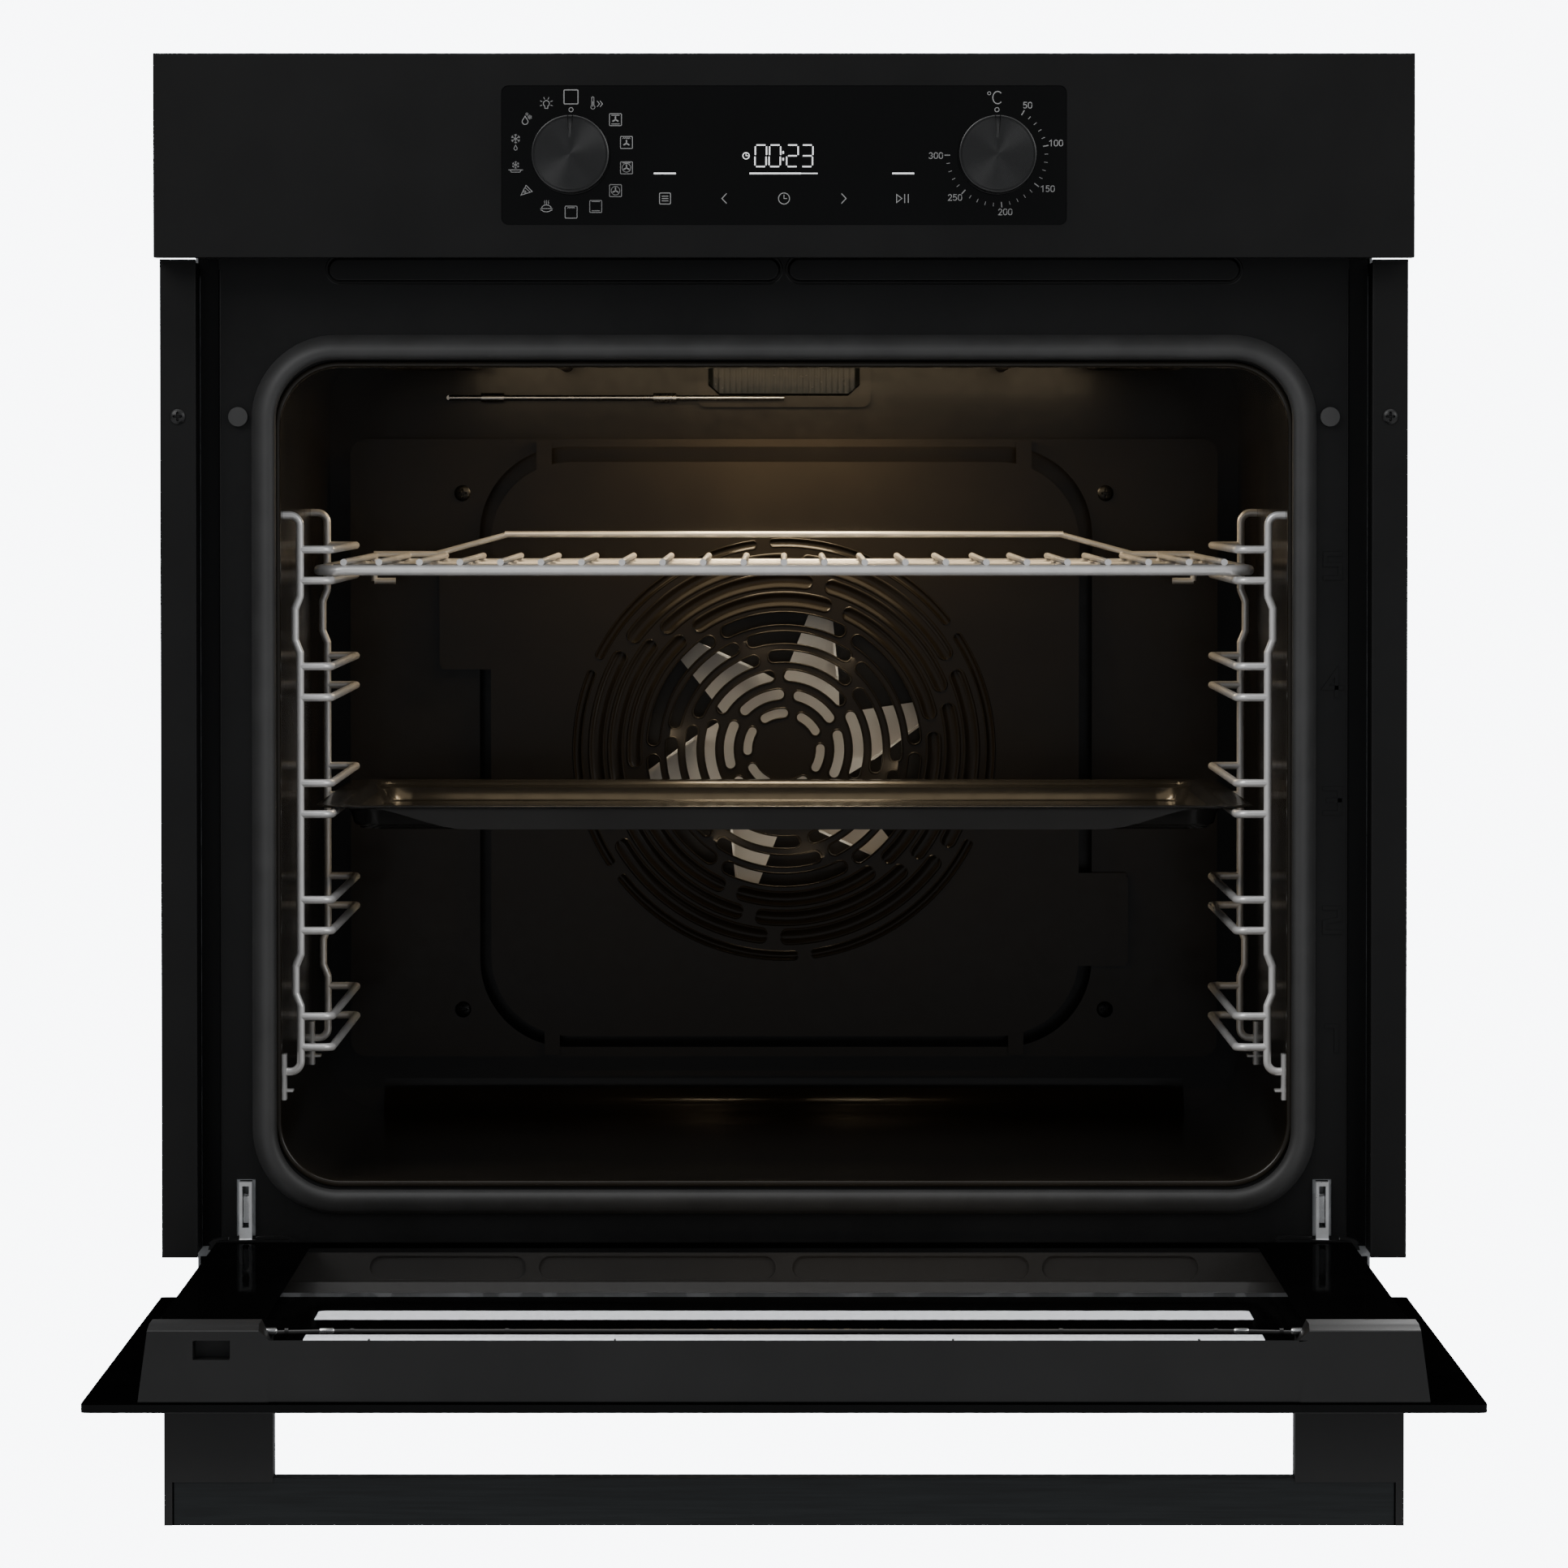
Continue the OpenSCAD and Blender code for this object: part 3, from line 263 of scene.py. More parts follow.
ENAMEL_LOW, ENAMEL_HIGH = (0.013, 0.0105, 0.0076), (0.0165, 0.0135, 0.0098)
MATERIALS = {
    "steel_galvanised": galvanised("zinc_sheet"),
    "frame_black": surface(
        "frame_enamel", grey(0.003), grey(0.0045), (0.32, 0.42), grain=(500, 0.2, 0.00005),
        specular=0.25),
    "trim_black": surface(
        "powder_coat", grey(0.0034), grey(0.0045), (0.42, 0.52), grain=(1400, 0.3, 0.00004),
        specular=0.22),
    "screw_dark": surface(
        "blackened_screw", grey(0.02), grey(0.045), (0.3, 0.45), 0.9,
        grain=(1800, 0.15, 0.00004)),
    "rubber_dark": surface(
        "silicone", grey(0.03), grey(0.038), (0.48, 0.6), grain=(1200, 0.35, 0.00008),
        colour_scale=60, specular=0.42),
    "enamel_dark": surface(
        "cavity_enamel", ENAMEL_LOW, ENAMEL_HIGH, (0.14, 0.24), grain=(160, 0.12, 0.0002),
        coat=0.1, specular=0.25),
    "enamel_tray": surface(
        "tray_enamel", grey(0.019, 0.03), grey(0.022, 0.03), (0.2, 0.26),
        grain=(300, 0.04, 0.00003), coat=0.15, specular=0.4),
    "chrome_wire": surface(
        "chrome_plate", grey(0.82, 0.01), grey(0.9, 0.01), (0.28, 0.36), 0.45,
        grain=(2400, 0.08, 0.00004), colour_scale=90),
    "heater_tube": surface(
        "heater_sheath", grey(0.045, 0.12), grey(0.1, 0.16), (0.4, 0.6), 0.8, colour_scale=70),
    "ceramic": surface(
        "ceramic_body", (0.62, 0.58, 0.5), (0.7, 0.67, 0.6), (0.4, 0.55),
        grain=(700, 0.15, 0.00004)),
    "lamp_glass": surface(
        "lamp_glass", (0.018, 0.022, 0.02), (0.025, 0.029, 0.027), (0.2, 0.3),
        grain=(300, 0.15, 0.00004), coat=0.1),
    "stainless": surface(
        "stainless_steel", grey(0.5), grey(0.6), (0.2, 0.3), 1.0, grain=(2000, 0.15, 0.00004)),
    "glass_wool": wool("glass_wool_felt"),
    "fan_steel": surface(
        "aluminised_sheet", grey(0.62, 0.04), grey(0.74, 0.03), (0.4, 0.5), 0.3,
        grain=(900, 0.15, 0.00004)),
    "insert_gloss": surface(
        "back_printed_glass", grey(0.0008), grey(0.0012), (0.05, 0.08),
        grain=(60, 0.02, 0.00002), specular=0.25),
    "circuit_board": board_material("solder_resist"),
    "switch_plastic": surface(
        "switch_moulding", (0.5, 0.47, 0.38), (0.58, 0.55, 0.46), (0.45, 0.55),
        grain=(800, 0.15, 0.00004)),
    "knob_metal": spun("spun_anodised"),
    "plastic_black": surface(
        "moulded_plastic", grey(0.014), grey(0.02), (0.45, 0.55), grain=(1100, 0.4, 0.00008)),
    "hinge_zinc": surface(
        "zinc_plate", grey(0.72), grey(0.86, -0.02), (0.26, 0.38), 0.75,
        grain=(1300, 0.15, 0.00004), colour_scale=120),
    "door_glass": pane("tempered_glass", grey(0.004), 0.07),
    "door_trim": surface(
        "satin_moulding", grey(0.009), grey(0.0115), (0.4, 0.5), grain=(1500, 0.25, 0.00004),
        specular=0.3),
    "handle_brushed": surface(
        "brushed_anodised", (0.0075, 0.009, 0.0095), (0.0135, 0.016, 0.017), (0.34, 0.48), 0.5,
        colour_scale=26, stretch=(1, 30, 30), grain=(500, 0.25, 0.00003),
        grain_stretch=(0.05, 4, 4)),
}

PRINT = surface("printed_legend", grey(0.3), grey(0.36), (0.4, 0.5), grain=(900, 0.15, 0.00004))
DISPLAY = glow("display_segments", (0.95, 0.97, 1.0), 0.9)
FRIT = surface("printed_frit", grey(0.001), grey(0.0016), (0.12, 0.18), grain=(80, 0.02, 0.00002),
               specular=0.0)
WINDOW_GLASS = pane("tinted_window", grey(0.004), 0.8, 0.0)
OUTER_FACE = pane("polished_face", grey(0.004), 0.3, 0.5)

SLOT_OF = {part["node"]: part["material_slot"] for part in frame["record"]["subparts"]}
for node, thing in frame["nodes"].items():
    thing.data.materials.clear()
    thing.data.materials.append(MATERIALS[SLOT_OF[node]])
frame["nodes"]["door_crossbar"].data.materials[0] = surface(
    "crossbar_enamel", grey(0.016, 0.08), grey(0.02, 0.08), (0.4, 0.5),
    grain=(500, 0.15, 0.00004))

# ---- mesh tools


def in_scene(thing):
    bpy.context.scene.collection.objects.link(thing)


class Shape:
    """Vertices, in mm, and faces of one piece, built up from swept and turned forms."""

    def __init__(self):
        self.verts = []
        self.faces = []

    def add(self, verts, faces):
        base = len(self.verts)
        self.verts += [tuple(v) for v in verts]
        self.faces += [tuple(base + i for i in face) for face in faces]

    def rings(self, rings, closed=False):
        """A skin over rings of points; the path closes on itself, or its ends are capped."""
        n = len(rings[0])
        verts = [p for ring in rings for p in ring]
        faces = []
        for k in range(len(rings) if closed else len(rings) - 1):
            a, b = k * n, (k + 1) % len(rings) * n
            faces += [(a + i, a + (i + 1) % n, b + (i + 1) % n, b + i) for i in range(n)]
        if not closed:
            faces += [tuple(range(n - 1, -1, -1)), tuple(range(len(verts) - n, len(verts)))]
        self.add(verts, faces)

    def sweep(self, path, outline, closed=False):
        """A closed outline, in two directions across the path, carried along a path."""
        path = [Vector(p) for p in path]
        count = len(path)
        tangents = []
        for i in range(count):
            back = path[i - 1] if closed or i else path[i]
            ahead = path[(i + 1) % count] if closed or i < count - 1 else path[i]
            tangents.append((ahead - back).normalized())
        side = tangents[0].orthogonal().normalized()
        rings = []
        for point, tangent in zip(path, tangents):
            side = (side - side.dot(tangent) * tangent).normalized()
            up = tangent.cross(side)
            rings.append([point + u * side + v * up for u, v in outline])
        self.rings(rings, closed)

    def tube(self, path, r, sides=12, closed=False):
        self.sweep(path, circle(r, sides), closed)

    def prism(self, outline, y0, y1):
        """A flat outline in X and Z, made solid from y0 to y1."""
        self.rings([[(x, y, z) for x, z in outline] for y in (y0, y1)])

    def lathe(self, profile, centre, sides=48):
        """A profile of (radius, y) turned round a line along Y through centre (x, z)."""
        cx, cz = centre
        self.rings([[(cx + r * cos(TAU * i / sides), y, cz + r * sin(TAU * i / sides))
                     for i in range(sides)] for r, y in profile])

    def block(self, lo, hi, bevel=0.4):
        """A box with its edges eased."""
        (x0, y0, z0), (x1, y1, z1) = lo, hi
        b = bevel

        def ring(y, inset):
            return [(x0 + inset + b, y, z0 + inset), (x1 - inset - b, y, z0 + inset),
                    (x1 - inset, y, z0 + inset + b), (x1 - inset, y, z1 - inset - b),
                    (x1 - inset - b, y, z1 - inset), (x0 + inset + b, y, z1 - inset),
                    (x0 + inset, y, z1 - inset - b), (x0 + inset, y, z0 + inset + b)]

        self.rings([ring(y0, b), ring(y0 + b, 0), ring(y1 - b, 0), ring(y1, b)])

    def mirrored(self):
        """Adds the mirror image across the middle plane."""
        self.add([(-x, y, z) for x, y, z in self.verts],
                 [tuple(reversed(face)) for face in list(self.faces)])
        return self

    def object(self, name, body, slot, crease=35, origin=(0, 0, 0), material=None):
        """The finished piece: welded, its normals outward, smooth up to the crease angle.

        It has its slot's material, unless it is given one of its own.
        """
        mesh = bpy.data.meshes.new(name)
        spot = Vector(origin)
        mesh.from_pydata([(Vector(v) - spot) * MM for v in self.verts], [], self.faces)
        work = bmesh.new()
        work.from_mesh(mesh)
        bmesh.ops.remove_doubles(work, verts=work.verts, dist=2e-6)
        bmesh.ops.dissolve_degenerate(work, edges=work.edges, dist=1e-6)
        bmesh.ops.recalc_face_normals(work, faces=work.faces)
        limit = radians(crease)
        for face in work.faces:
            face.smooth = True
        for edge in work.edges:
            edge.smooth = len(edge.link_faces) == 2 and edge.calc_face_angle(0) < limit
        work.to_mesh(mesh)
        work.free()
        mesh.materials.append(material or MATERIALS[slot])
        piece = bpy.data.objects.new(name, mesh)
        in_scene(piece)
        piece.location = spot * MM
        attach(piece, body)
        return piece


def circle(r, sides=12):
    return [(r * cos(TAU * i / sides), r * sin(TAU * i / sides))
            for i in range(sides)]


def round_loop(x0, x1, z0, z1, r, steps=10):
    """Points and outward directions round a rectangle with round corners, in X and Z."""
    loop = []
    for cx, cz, start in ((x1 - r, z1 - r, 0), (x0 + r, z1 - r, 90),
                          (x0 + r, z0 + r, 180), (x1 - r, z0 + r, 270)):
        for k in range(steps + 1):
            a = radians(start + 90 * k / steps)
            loop.append(((cx + r * cos(a), cz + r * sin(a)),
                         (cos(a), sin(a))))
    return loop


def arc(cx, cy, rx, ry, a0, a1, steps=8):
    return [(cx + rx * cos(radians(a0 + (a1 - a0) * k / steps)),
             cy + ry * sin(radians(a0 + (a1 - a0) * k / steps)))
            for k in range(steps + 1)]


def opened(x, y, z):
    """A point of the closed door, turned to the open door about its hinge."""
    return x, 18 - z, y + 22


# ---- legends and digits

PANEL_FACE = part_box("control_insert")[0].y / MM
KNOB_X = sum(c[0] for c in node_box("right_knob")) / 2
KNOB_Z = sum(c[2] for c in node_box("right_knob")) / 2


class Legend(Shape):
    """Printed or pressed lines on an upright face at y, standing out of it by proud."""

    def __init__(self, y, proud, weight):
        super().__init__()
        self.y, self.proud, self.weight = y, proud, weight

    def line(self, points, spot=(0, 0), size=1.0, closed=False, weight=None):
        """A mitred line of even width through points, scaled and set at a spot."""
        half = (weight or self.weight) / 2
        pts = [Vector((spot[0] + x * size, spot[1] + z * size)) for x, z in points]
        if not closed:
            pts[0] = pts[0] + (pts[0] - pts[1]).normalized() * half
            pts[-1] = pts[-1] + (pts[-1] - pts[-2]).normalized() * half
        rings = []
        for i, p in enumerate(pts):
            back = pts[i - 1] if closed or i else None
            ahead = pts[(i + 1) % len(pts)] if closed or i < len(pts) - 1 else None
            before = (p - back).normalized() if back is not None else (ahead - p).normalized()
            after = (ahead - p).normalized() if ahead is not None else before
            along = before + after
            along = along.normalized() if along.length > 1e-6 else before
            across = Vector((-along.y, along.x))
            reach = half / max(0.35, abs(across.dot(Vector((-before.y, before.x)))))
            left, right = p + across * reach, p - across * reach
            rings.append([(left.x, self.y, left.y), (left.x, self.y - self.proud, left.y),
                          (right.x, self.y - self.proud, right.y), (right.x, self.y, right.y)])
        self.rings(rings, closed)

    def word(self, text, spot, size, weight, glyphs):
        """Digits side by side, centred on a spot."""
        x = -(len(text) - 1) * DIGIT_PITCH / 2 - 0.3
        for character in text:
            for points in glyphs[character]:
                self.line([(x + u, v - 0.5) for u, v in points], spot, size, weight=weight)
            x += DIGIT_PITCH


DIGIT_PITCH = 0.86
ROUND_DIGITS = {
    "0": [arc(0.3, 0.7, 0.3, 0.3, 0, 180) + arc(0.3, 0.3, 0.3, 0.3, 180, 360) + [(0.6, 0.7)]],
    "1": [[(0.08, 0.8), (0.36, 1), (0.36, 0)]],
    "2": [arc(0.3, 0.7, 0.28, 0.3, 160, -20) + [(0.04, 0), (0.6, 0)]],
    "3": [arc(0.28, 0.75, 0.26, 0.25, 150, -80) + arc(0.27, 0.26, 0.31, 0.26, 75, -150)],
    "5": [[(0.55, 1), (0.1, 1), (0.06, 0.56)] + arc(0.28, 0.32, 0.3, 0.32, 110, -140)],
}
SQUARE_DIGITS = {
    "1": [[(0.1, 1), (0.5, 1), (0.5, 0)]],
    "2": [[(0, 1), (0.62, 1), (0.62, 0.54), (0, 0.42), (0, 0), (0.62, 0)]],
    "3": [[(0, 1), (0.62, 1), (0.62, 0), (0, 0)], [(0.15, 0.52), (0.62, 0.52)]],
    "4": [[(0.48, 0), (0.48, 1), (0, 0.32), (0.7, 0.32)]],
    "5": [[(0.62, 1), (0, 1), (0, 0.55), (0.62, 0.55), (0.62, 0), (0, 0)]],
}
BARS = {"a": ((0.1, 1), (0.46, 1)), "b": ((0.54, 0.91), (0.54, 0.57)),
        "c": ((0.52, 0.43), (0.52, 0.09)), "d": ((0.08, 0), (0.44, 0)),
        "e": ((0, 0.43), (0, 0.09)), "f": ((0.02, 0.91), (0.02, 0.57)),
        "g": ((0.1, 0.5), (0.45, 0.5))}
STROKE, FINE = 0.33, 0.26
LIT_DIGITS = {digit: [list(BARS[bar]) for bar in bars]
              for digit, bars in {"0": "abcdef", "2": "abged", "3": "abgcd"}.items()}


def icon_square():
    return [p for p, _ in round_loop(-1, 1, -1, 1, 0.12, 2)]


def icon_fan(legend, spot, size, ringed):
    for k in range(3):
        a = radians(90 + 120 * k)
        legend.line([(0.12 * cos(a), 0.12 * sin(a)),
                     (0.46 * cos(a), 0.46 * sin(a))], spot, size, weight=0.62)
    if ringed:
        legend.line(arc(0, 0, 0.72, 0.72, 0, 345, 20), spot, size, closed=True, weight=FINE)


def icon_star(legend, spot, size):
    for k in range(3):
        a = radians(90 + 60 * k)
        legend.line([(-cos(a), -sin(a)), (cos(a), sin(a))], spot, size,
                    weight=FINE)
    for k in range(6):
        a = 90 + 60 * k
        tip = [(0.95 * cos(radians(a + t)), 0.95 * sin(radians(a + t)))
               for t in (-16, 16)]
        root = (0.62 * cos(radians(a)), 0.62 * sin(radians(a)))
        legend.line([tip[0], root, tip[1]], spot, size, weight=0.2)


def icon_drop(legend, spot, size):
    legend.line([(0, 1.35), (-0.36, 0.7)] + arc(0, 0, 0.72, 0.72, 150, 390, 14)
                + [(0.36, 0.7)], spot, size, closed=True, weight=STROKE)


def dial_icon(legend, k, spot):
    """The k-th cooking function round the left dial, clockwise from the top."""
    s = {0: 3.3, 1: 2.82 * 0.9}.get(k, 2.82)

    def draw(points, weight=STROKE, closed=False):
        legend.line(points, spot, s, closed, weight)

    if k == 0:
        draw(icon_square(), 0.42, True)
    elif k == 1:
        draw([(-0.72, -0.25), (-0.72, 1.1)] + arc(-0.52, 1.1, 0.2, 0.2, 180, 0, 6)
             + [(-0.32, -0.25)] + arc(-0.52, -0.6, 0.38, 0.38, 60, -240, 12), FINE, True)
        draw([(-0.52, -0.5), (-0.52, 0.4)], FINE)
        for shift in (0.3, 0.85):
            draw([(shift, 0.5), (shift + 0.42, 0), (shift, -0.5)])
    elif k <= 7:
        draw(icon_square(), closed=True)
        if k in (2, 3, 4, 5):
            fan = (spot[0], spot[1] - (0.4 if k == 3 else 0))
            icon_fan(legend, fan, s, k in (4, 5))
        for v in {2: (0.72, -0.72), 4: (0.82,), 6: (0.82, -0.72)}.get(k, ()):
            draw([(-0.62, v), (0.62, v)])
        if k in (3, 7):
            draw([(-0.6 + 0.15 * n, 0.72 + (0.1 if n % 2 else -0.06)) for n in range(9)], FINE)
    elif k == 8:
        draw([(-1.0, -0.35), (1.0, -0.35)], FINE)
        draw([(-0.92, -0.6)] + arc(0, -0.6, 0.72, 0.3, 190, 350, 6) + [(0.92, -0.6)])
        draw(arc(0, -0.3, 0.8, 0.55, 170, 10, 8))
        for u in (-0.32, 0, 0.32):
            draw([(u, 0.4), (u + 0.08, 0.6), (u - 0.04, 0.78), (u + 0.05, 1.0)], 0.22)
    elif k == 9:
        draw([(-0.95, -0.75), (0.95, -0.15), (-0.1, 0.9)], closed=True)
        draw([(-0.3, 0.55), (0.55, -0.2)], FINE)
        draw(arc(-0.28, -0.2, 0.16, 0.16, 0, 320, 8), FINE, True)
    elif k == 10:
        draw([(-1.15, -0.35), (1.15, -0.35)])
        draw([(-0.9, -0.45), (-0.7, -0.72), (0.7, -0.72), (0.9, -0.45)], FINE)
        icon_star(legend, (spot[0], spot[1] + 1.35), 1.6)
    elif k == 11:
        icon_star(legend, (spot[0], spot[1] + 1.75), 2.1)
        draw([(0, -0.45), (-0.2, -0.8)] + arc(0, -1.0, 0.27, 0.27, 160, 380, 10)
             + [(0.2, -0.8)], FINE, True)
    elif k == 12:
        icon_drop(legend, (spot[0] - 0.7, spot[1] - 0.9), 1.9)
        icon_star(legend, (spot[0] + 1.5, spot[1] + 1.2), 0.85)
        icon_star(legend, (spot[0] + 0.2, spot[1] + 2.6), 0.55)
    else:
        draw(arc(0, 0.05, 0.5, 0.5, -60, 240, 16) + [(-0.25, -0.75), (0.25, -0.75)],
             closed=True)
        for a in range(-20, 201, 44):
            u, v = cos(radians(a)), sin(radians(a))
            draw([(0.78 * u, 0.05 + 0.78 * v), (1.1 * u, 0.05 + 1.1 * v)], FINE)


def clockwise(centre_x, r, degrees):
    """A point on a dial, at an angle clockwise from its top."""
    a = radians(degrees)
    return centre_x + r * sin(a), KNOB_Z + r * cos(a)


dial = Legend(PANEL_FACE, 0.05, STROKE)
ICONS = 14
for k in range(ICONS):
    dial_icon(dial, k, clockwise(-KNOB_X, 26.8 if k else 27.4, k * 360 / ICONS))
for x in (-KNOB_X, KNOB_X):
    dial.line(arc(0, 0, 1, 1, 0, 340, 14), clockwise(x, 21.4, 0), 1.0, closed=True)
dial.object("dial_icons", "chassis", None, 30, material=PRINT)

scale = Legend(PANEL_FACE, 0.05, STROKE)
FIRST_TICK, TICK_STEP = 31.5, 47.7 / 5
for k in range(26):
    major = k % 5 == 0
    angle = FIRST_TICK + k * TICK_STEP
    scale.line([clockwise(KNOB_X, 22.6 - 0.3 * major, angle),
                clockwise(KNOB_X, 24.0 + 0.5 * major, angle)],
               weight=0.46 if major else FINE)
for value, x, z in ((50, 14.4, 23.5), (100, 27.8, 5.7), (150, 23.9, -15.8), (200, 3.9, -26.7),
                    (250, -19.8, -19.9), (300, -28.8, -0.2)):
    scale.word(str(value), (KNOB_X + x, KNOB_Z + z), 2.75, 0.36, ROUND_DIGITS)
C_X, C_Z = KNOB_X - 0.3, KNOB_Z + 27.1
scale.line(arc(0, 0, 1, 1, 0, 330, 10), (C_X - 3.4, C_Z + 2), 0.75, closed=True, weight=FINE)
scale.line(arc(0.6, 0, 2.3, 2.9, 48, 312, 16), (C_X, C_Z), weight=0.42)
scale.object("temperature_scale", "chassis", None, 30, material=PRINT)

touch = Legend(PANEL_FACE, 0.05, STROKE)
TOUCH_Z = KNOB_Z - 20.4
touch.line([p for p, _ in round_loop(-2.6, 2.6, -2.6, 2.6, 0.5, 3)], (-56.1, TOUCH_Z),
           closed=True)
for v in (-1.1, 0, 1.1):
    touch.line([(-1.4, v), (1.4, v)], (-56.1, TOUCH_Z))
for s in (-1, 1):
    touch.line([(s * 27.2, TOUCH_Z + 2.2), (s * 29.3, TOUCH_Z), (s * 27.2, TOUCH_Z - 2.2)],
               weight=0.38)
touch.line(arc(0, 0, 2.6, 2.6, 0, 350, 28), (0, TOUCH_Z), closed=True, weight=0.36)
touch.line([(0, 1.6), (0, 0), (1.3, 0)], (0, TOUCH_Z))
touch.line([(-2.9, 1.9), (-2.9, -1.9), (-0.4, 0)], (56.0, TOUCH_Z), closed=True)
for u in (0.9, 2.6):
    touch.line([(u, 1.9), (u, -1.9)], (56.0, TOUCH_Z), weight=0.38)
touch.object("touch_keys", "chassis", None, 30, material=PRINT)

shown = Legend(PANEL_FACE, 0.06, 0.62)
CLOCK_Z = KNOB_Z - 0.3
for x, digit in ((-10.96, "0"), (-4.3, "0"), (3.95, "2"), (10.9, "3")):
    shown.word(digit, (x + 0.3, CLOCK_Z), 10.1, 0.62, LIT_DIGITS)
for v in (-1.6, 1.6):
    shown.line([(-0.4, v - 0.25), (-0.4, v + 0.25)], (0, CLOCK_Z), weight=0.75)
shown.line(arc(0, 0, 1.5, 1.5, 0, 350, 20), (-17.9, CLOCK_Z), closed=True, weight=0.4)
shown.line([(0, 0.9), (0, 0), (0.8, 0)], (-17.9, CLOCK_Z), weight=0.28)
BAR_Z = KNOB_Z - 8.6
shown.line([(-15.9, BAR_Z), (7.5, BAR_Z)], weight=0.75)
shown.line([(7.8, BAR_Z), (15.6, BAR_Z)], weight=0.5)
for s in (-1, 1):
    shown.line([(s * 56.2 - 4.8, BAR_Z), (s * 56.2 + 4.8, BAR_Z)], weight=0.75)
shown.object("display_digits", "chassis", None, 30, material=DISPLAY)

levels = Legend(17.1, 0.75, 1.9)
for digit, z in zip("12345", (127.5, 184, 241, 297, 353)):
    levels.word(digit, (261.4, z), 11.5, 1.9, SQUARE_DIGITS)
levels.object("level_numbers", "chassis", "frame_black")

# ---- knobs


def knob(name, node, x, body):
    """A turned knob: eased rim, a fine ring round its face, and a notch at the top."""
    lo, hi = node_box(node)
    front, back, r = lo[1], hi[1], (hi[0] - lo[0]) / 2
    sides = 240
    profile = [(0.01, front + 0.45), (3, front + 0.42), (8, front + 0.3), (r - 2.2, front + 0.15),
               (r - 1.5, front + 0.12), (r - 1.35, front + 0.3), (r - 1.05, front + 0.3),
               (r - 0.9, front + 0.05), (r - 0.45, front), (r - 0.12, front + 0.18),
               (r, front + 0.7), (r, front + 4), (r - 0.02, back - 1), (r - 0.5, back - 0.2),
               (r - 1.6, back - 0.2), (r - 1.7, back - 2), (r - 1.8, front + 4.2),
               (7, front + 4.2), (7, back), (3.1, back), (3.05, back - 1)]
    shape = Shape()
    rings = []
    for radius, y in profile:
        ring = []
        for i in range(sides):
            a = TAU * i / sides
            u, v = radius * cos(a), radius * sin(a)
            cut = 1.1 if abs(u) < 1.0 and v > 9.5 and y < front + 1 else 0.0
            ring.append((x + u, y + cut, KNOB_Z + v))
        rings.append(ring)
    dense = [rings[0]]
    for a, b in zip(rings[:4], rings[1:5]):
        for t in (0.25, 0.5, 0.75, 1):
            dense.append([tuple(p + (q - p) * t for p, q in zip(v, w)) for v, w in zip(a, b)])
    shape.rings(dense + rings[5:])
    piece = shape.object(name, body, "knob_metal", 30,
                         (x, front, KNOB_Z))
    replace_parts(piece, node)


knob("function_knob_turned", "left_knob", -KNOB_X, "function_knob")
knob("temperature_knob_turned", "right_knob", KNOB_X, "temperature_knob")
rims = Shape()
for x in (-KNOB_X, KNOB_X):
    rims.lathe([(17.2, PANEL_FACE), (17.2, PANEL_FACE - 0.35), (17.9, PANEL_FACE - 0.45),
                (18.5, PANEL_FACE - 0.3), (18.7, PANEL_FACE)], (x, KNOB_Z), 96)
rims.object("knob_collars", "chassis", "insert_gloss")

# ---- door seal

lo, hi = node_box("door_seal")
SEAL_Y, SEAL_HALF, SEAL_R = hi[1], 5.6, 34.4
seal_outline = [(u * 5.5, v) for u, v in (
    (-0.85, 0.05), (-0.98, 1.5), (-1.0, 4.5), (-0.93, 6.7), (-0.76, 8.1), (-0.5, 8.8),
    (-0.22, 8.85), (0.1, 8.3), (0.42, 7.1), (0.7, 5.5), (0.9, 3.7), (1.02, 2.1), (1.12, 1.0),
    (1.16, 0.3), (0.85, 0.05))]
seal = Shape()
seal.rings([[(x + nx * u, SEAL_Y - v, z + nz * u) for u, v in seal_outline]
            for (x, z), (nx, nz) in round_loop(lo[0] + SEAL_HALF + 0.8, hi[0] - SEAL_HALF - 0.8,
                                               lo[2] + SEAL_HALF + 0.8, hi[2] - SEAL_HALF - 0.8,
                                               SEAL_R, 16)], closed=True)
gasket = seal.object("seal_gasket", "chassis", "rubber_dark", 50)
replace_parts(gasket, "door_seal")
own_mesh(gasket)

# ---- screws


THREAD_PITCH = 1.25


def screw(shape, x, z, face, out, head_r, head_h, shaft_r, length, recess):
    """A screw whose head stands out of a face along Y towards out (-1 or 1), threaded inwards."""
    sides, cross = 40, 0.42
    rings = []
    for k in range(12):
        r = head_r * (1 - k / 11) + 0.01
        dome = head_h * sqrt(max(0, 1 - (r / head_r) ** 2 * 0.86))
        ring = []
        for i in range(sides):
            a = TAU * (i + 0.5) / sides
            u, v = r * cos(a), r * sin(a)
            inside = (abs(u) < cross and abs(v) < recess) or (abs(v) < cross and abs(u) < recess)
            ring.append((x + u, face + out * (dome - (1.1 if inside else 0)), z + v))
        rings.append(ring)
    rings.reverse()
    rings.append([(x + head_r * cos(TAU * (i + 0.5) / sides), face,
                   z + head_r * sin(TAU * (i + 0.5) / sides)) for i in range(sides)])
    turns = max(2, int(length / THREAD_PITCH))
    for k in range(turns * 5 + 1):
        deep = length * k / (turns * 5)
        ring = []
        for i in range(sides):
            a = TAU * (i + 0.5) / sides
            phase = (deep / THREAD_PITCH - a / TAU) % 1
            r = shaft_r - 0.38 * (1 - abs(2 * phase - 1))
            r *= min(1, 0.35 + (length - deep) / 2.5)
            ring.append((x + r * cos(a), face - out * deep, z + r * sin(a)))
        rings.append(ring)
    shape.rings(rings)


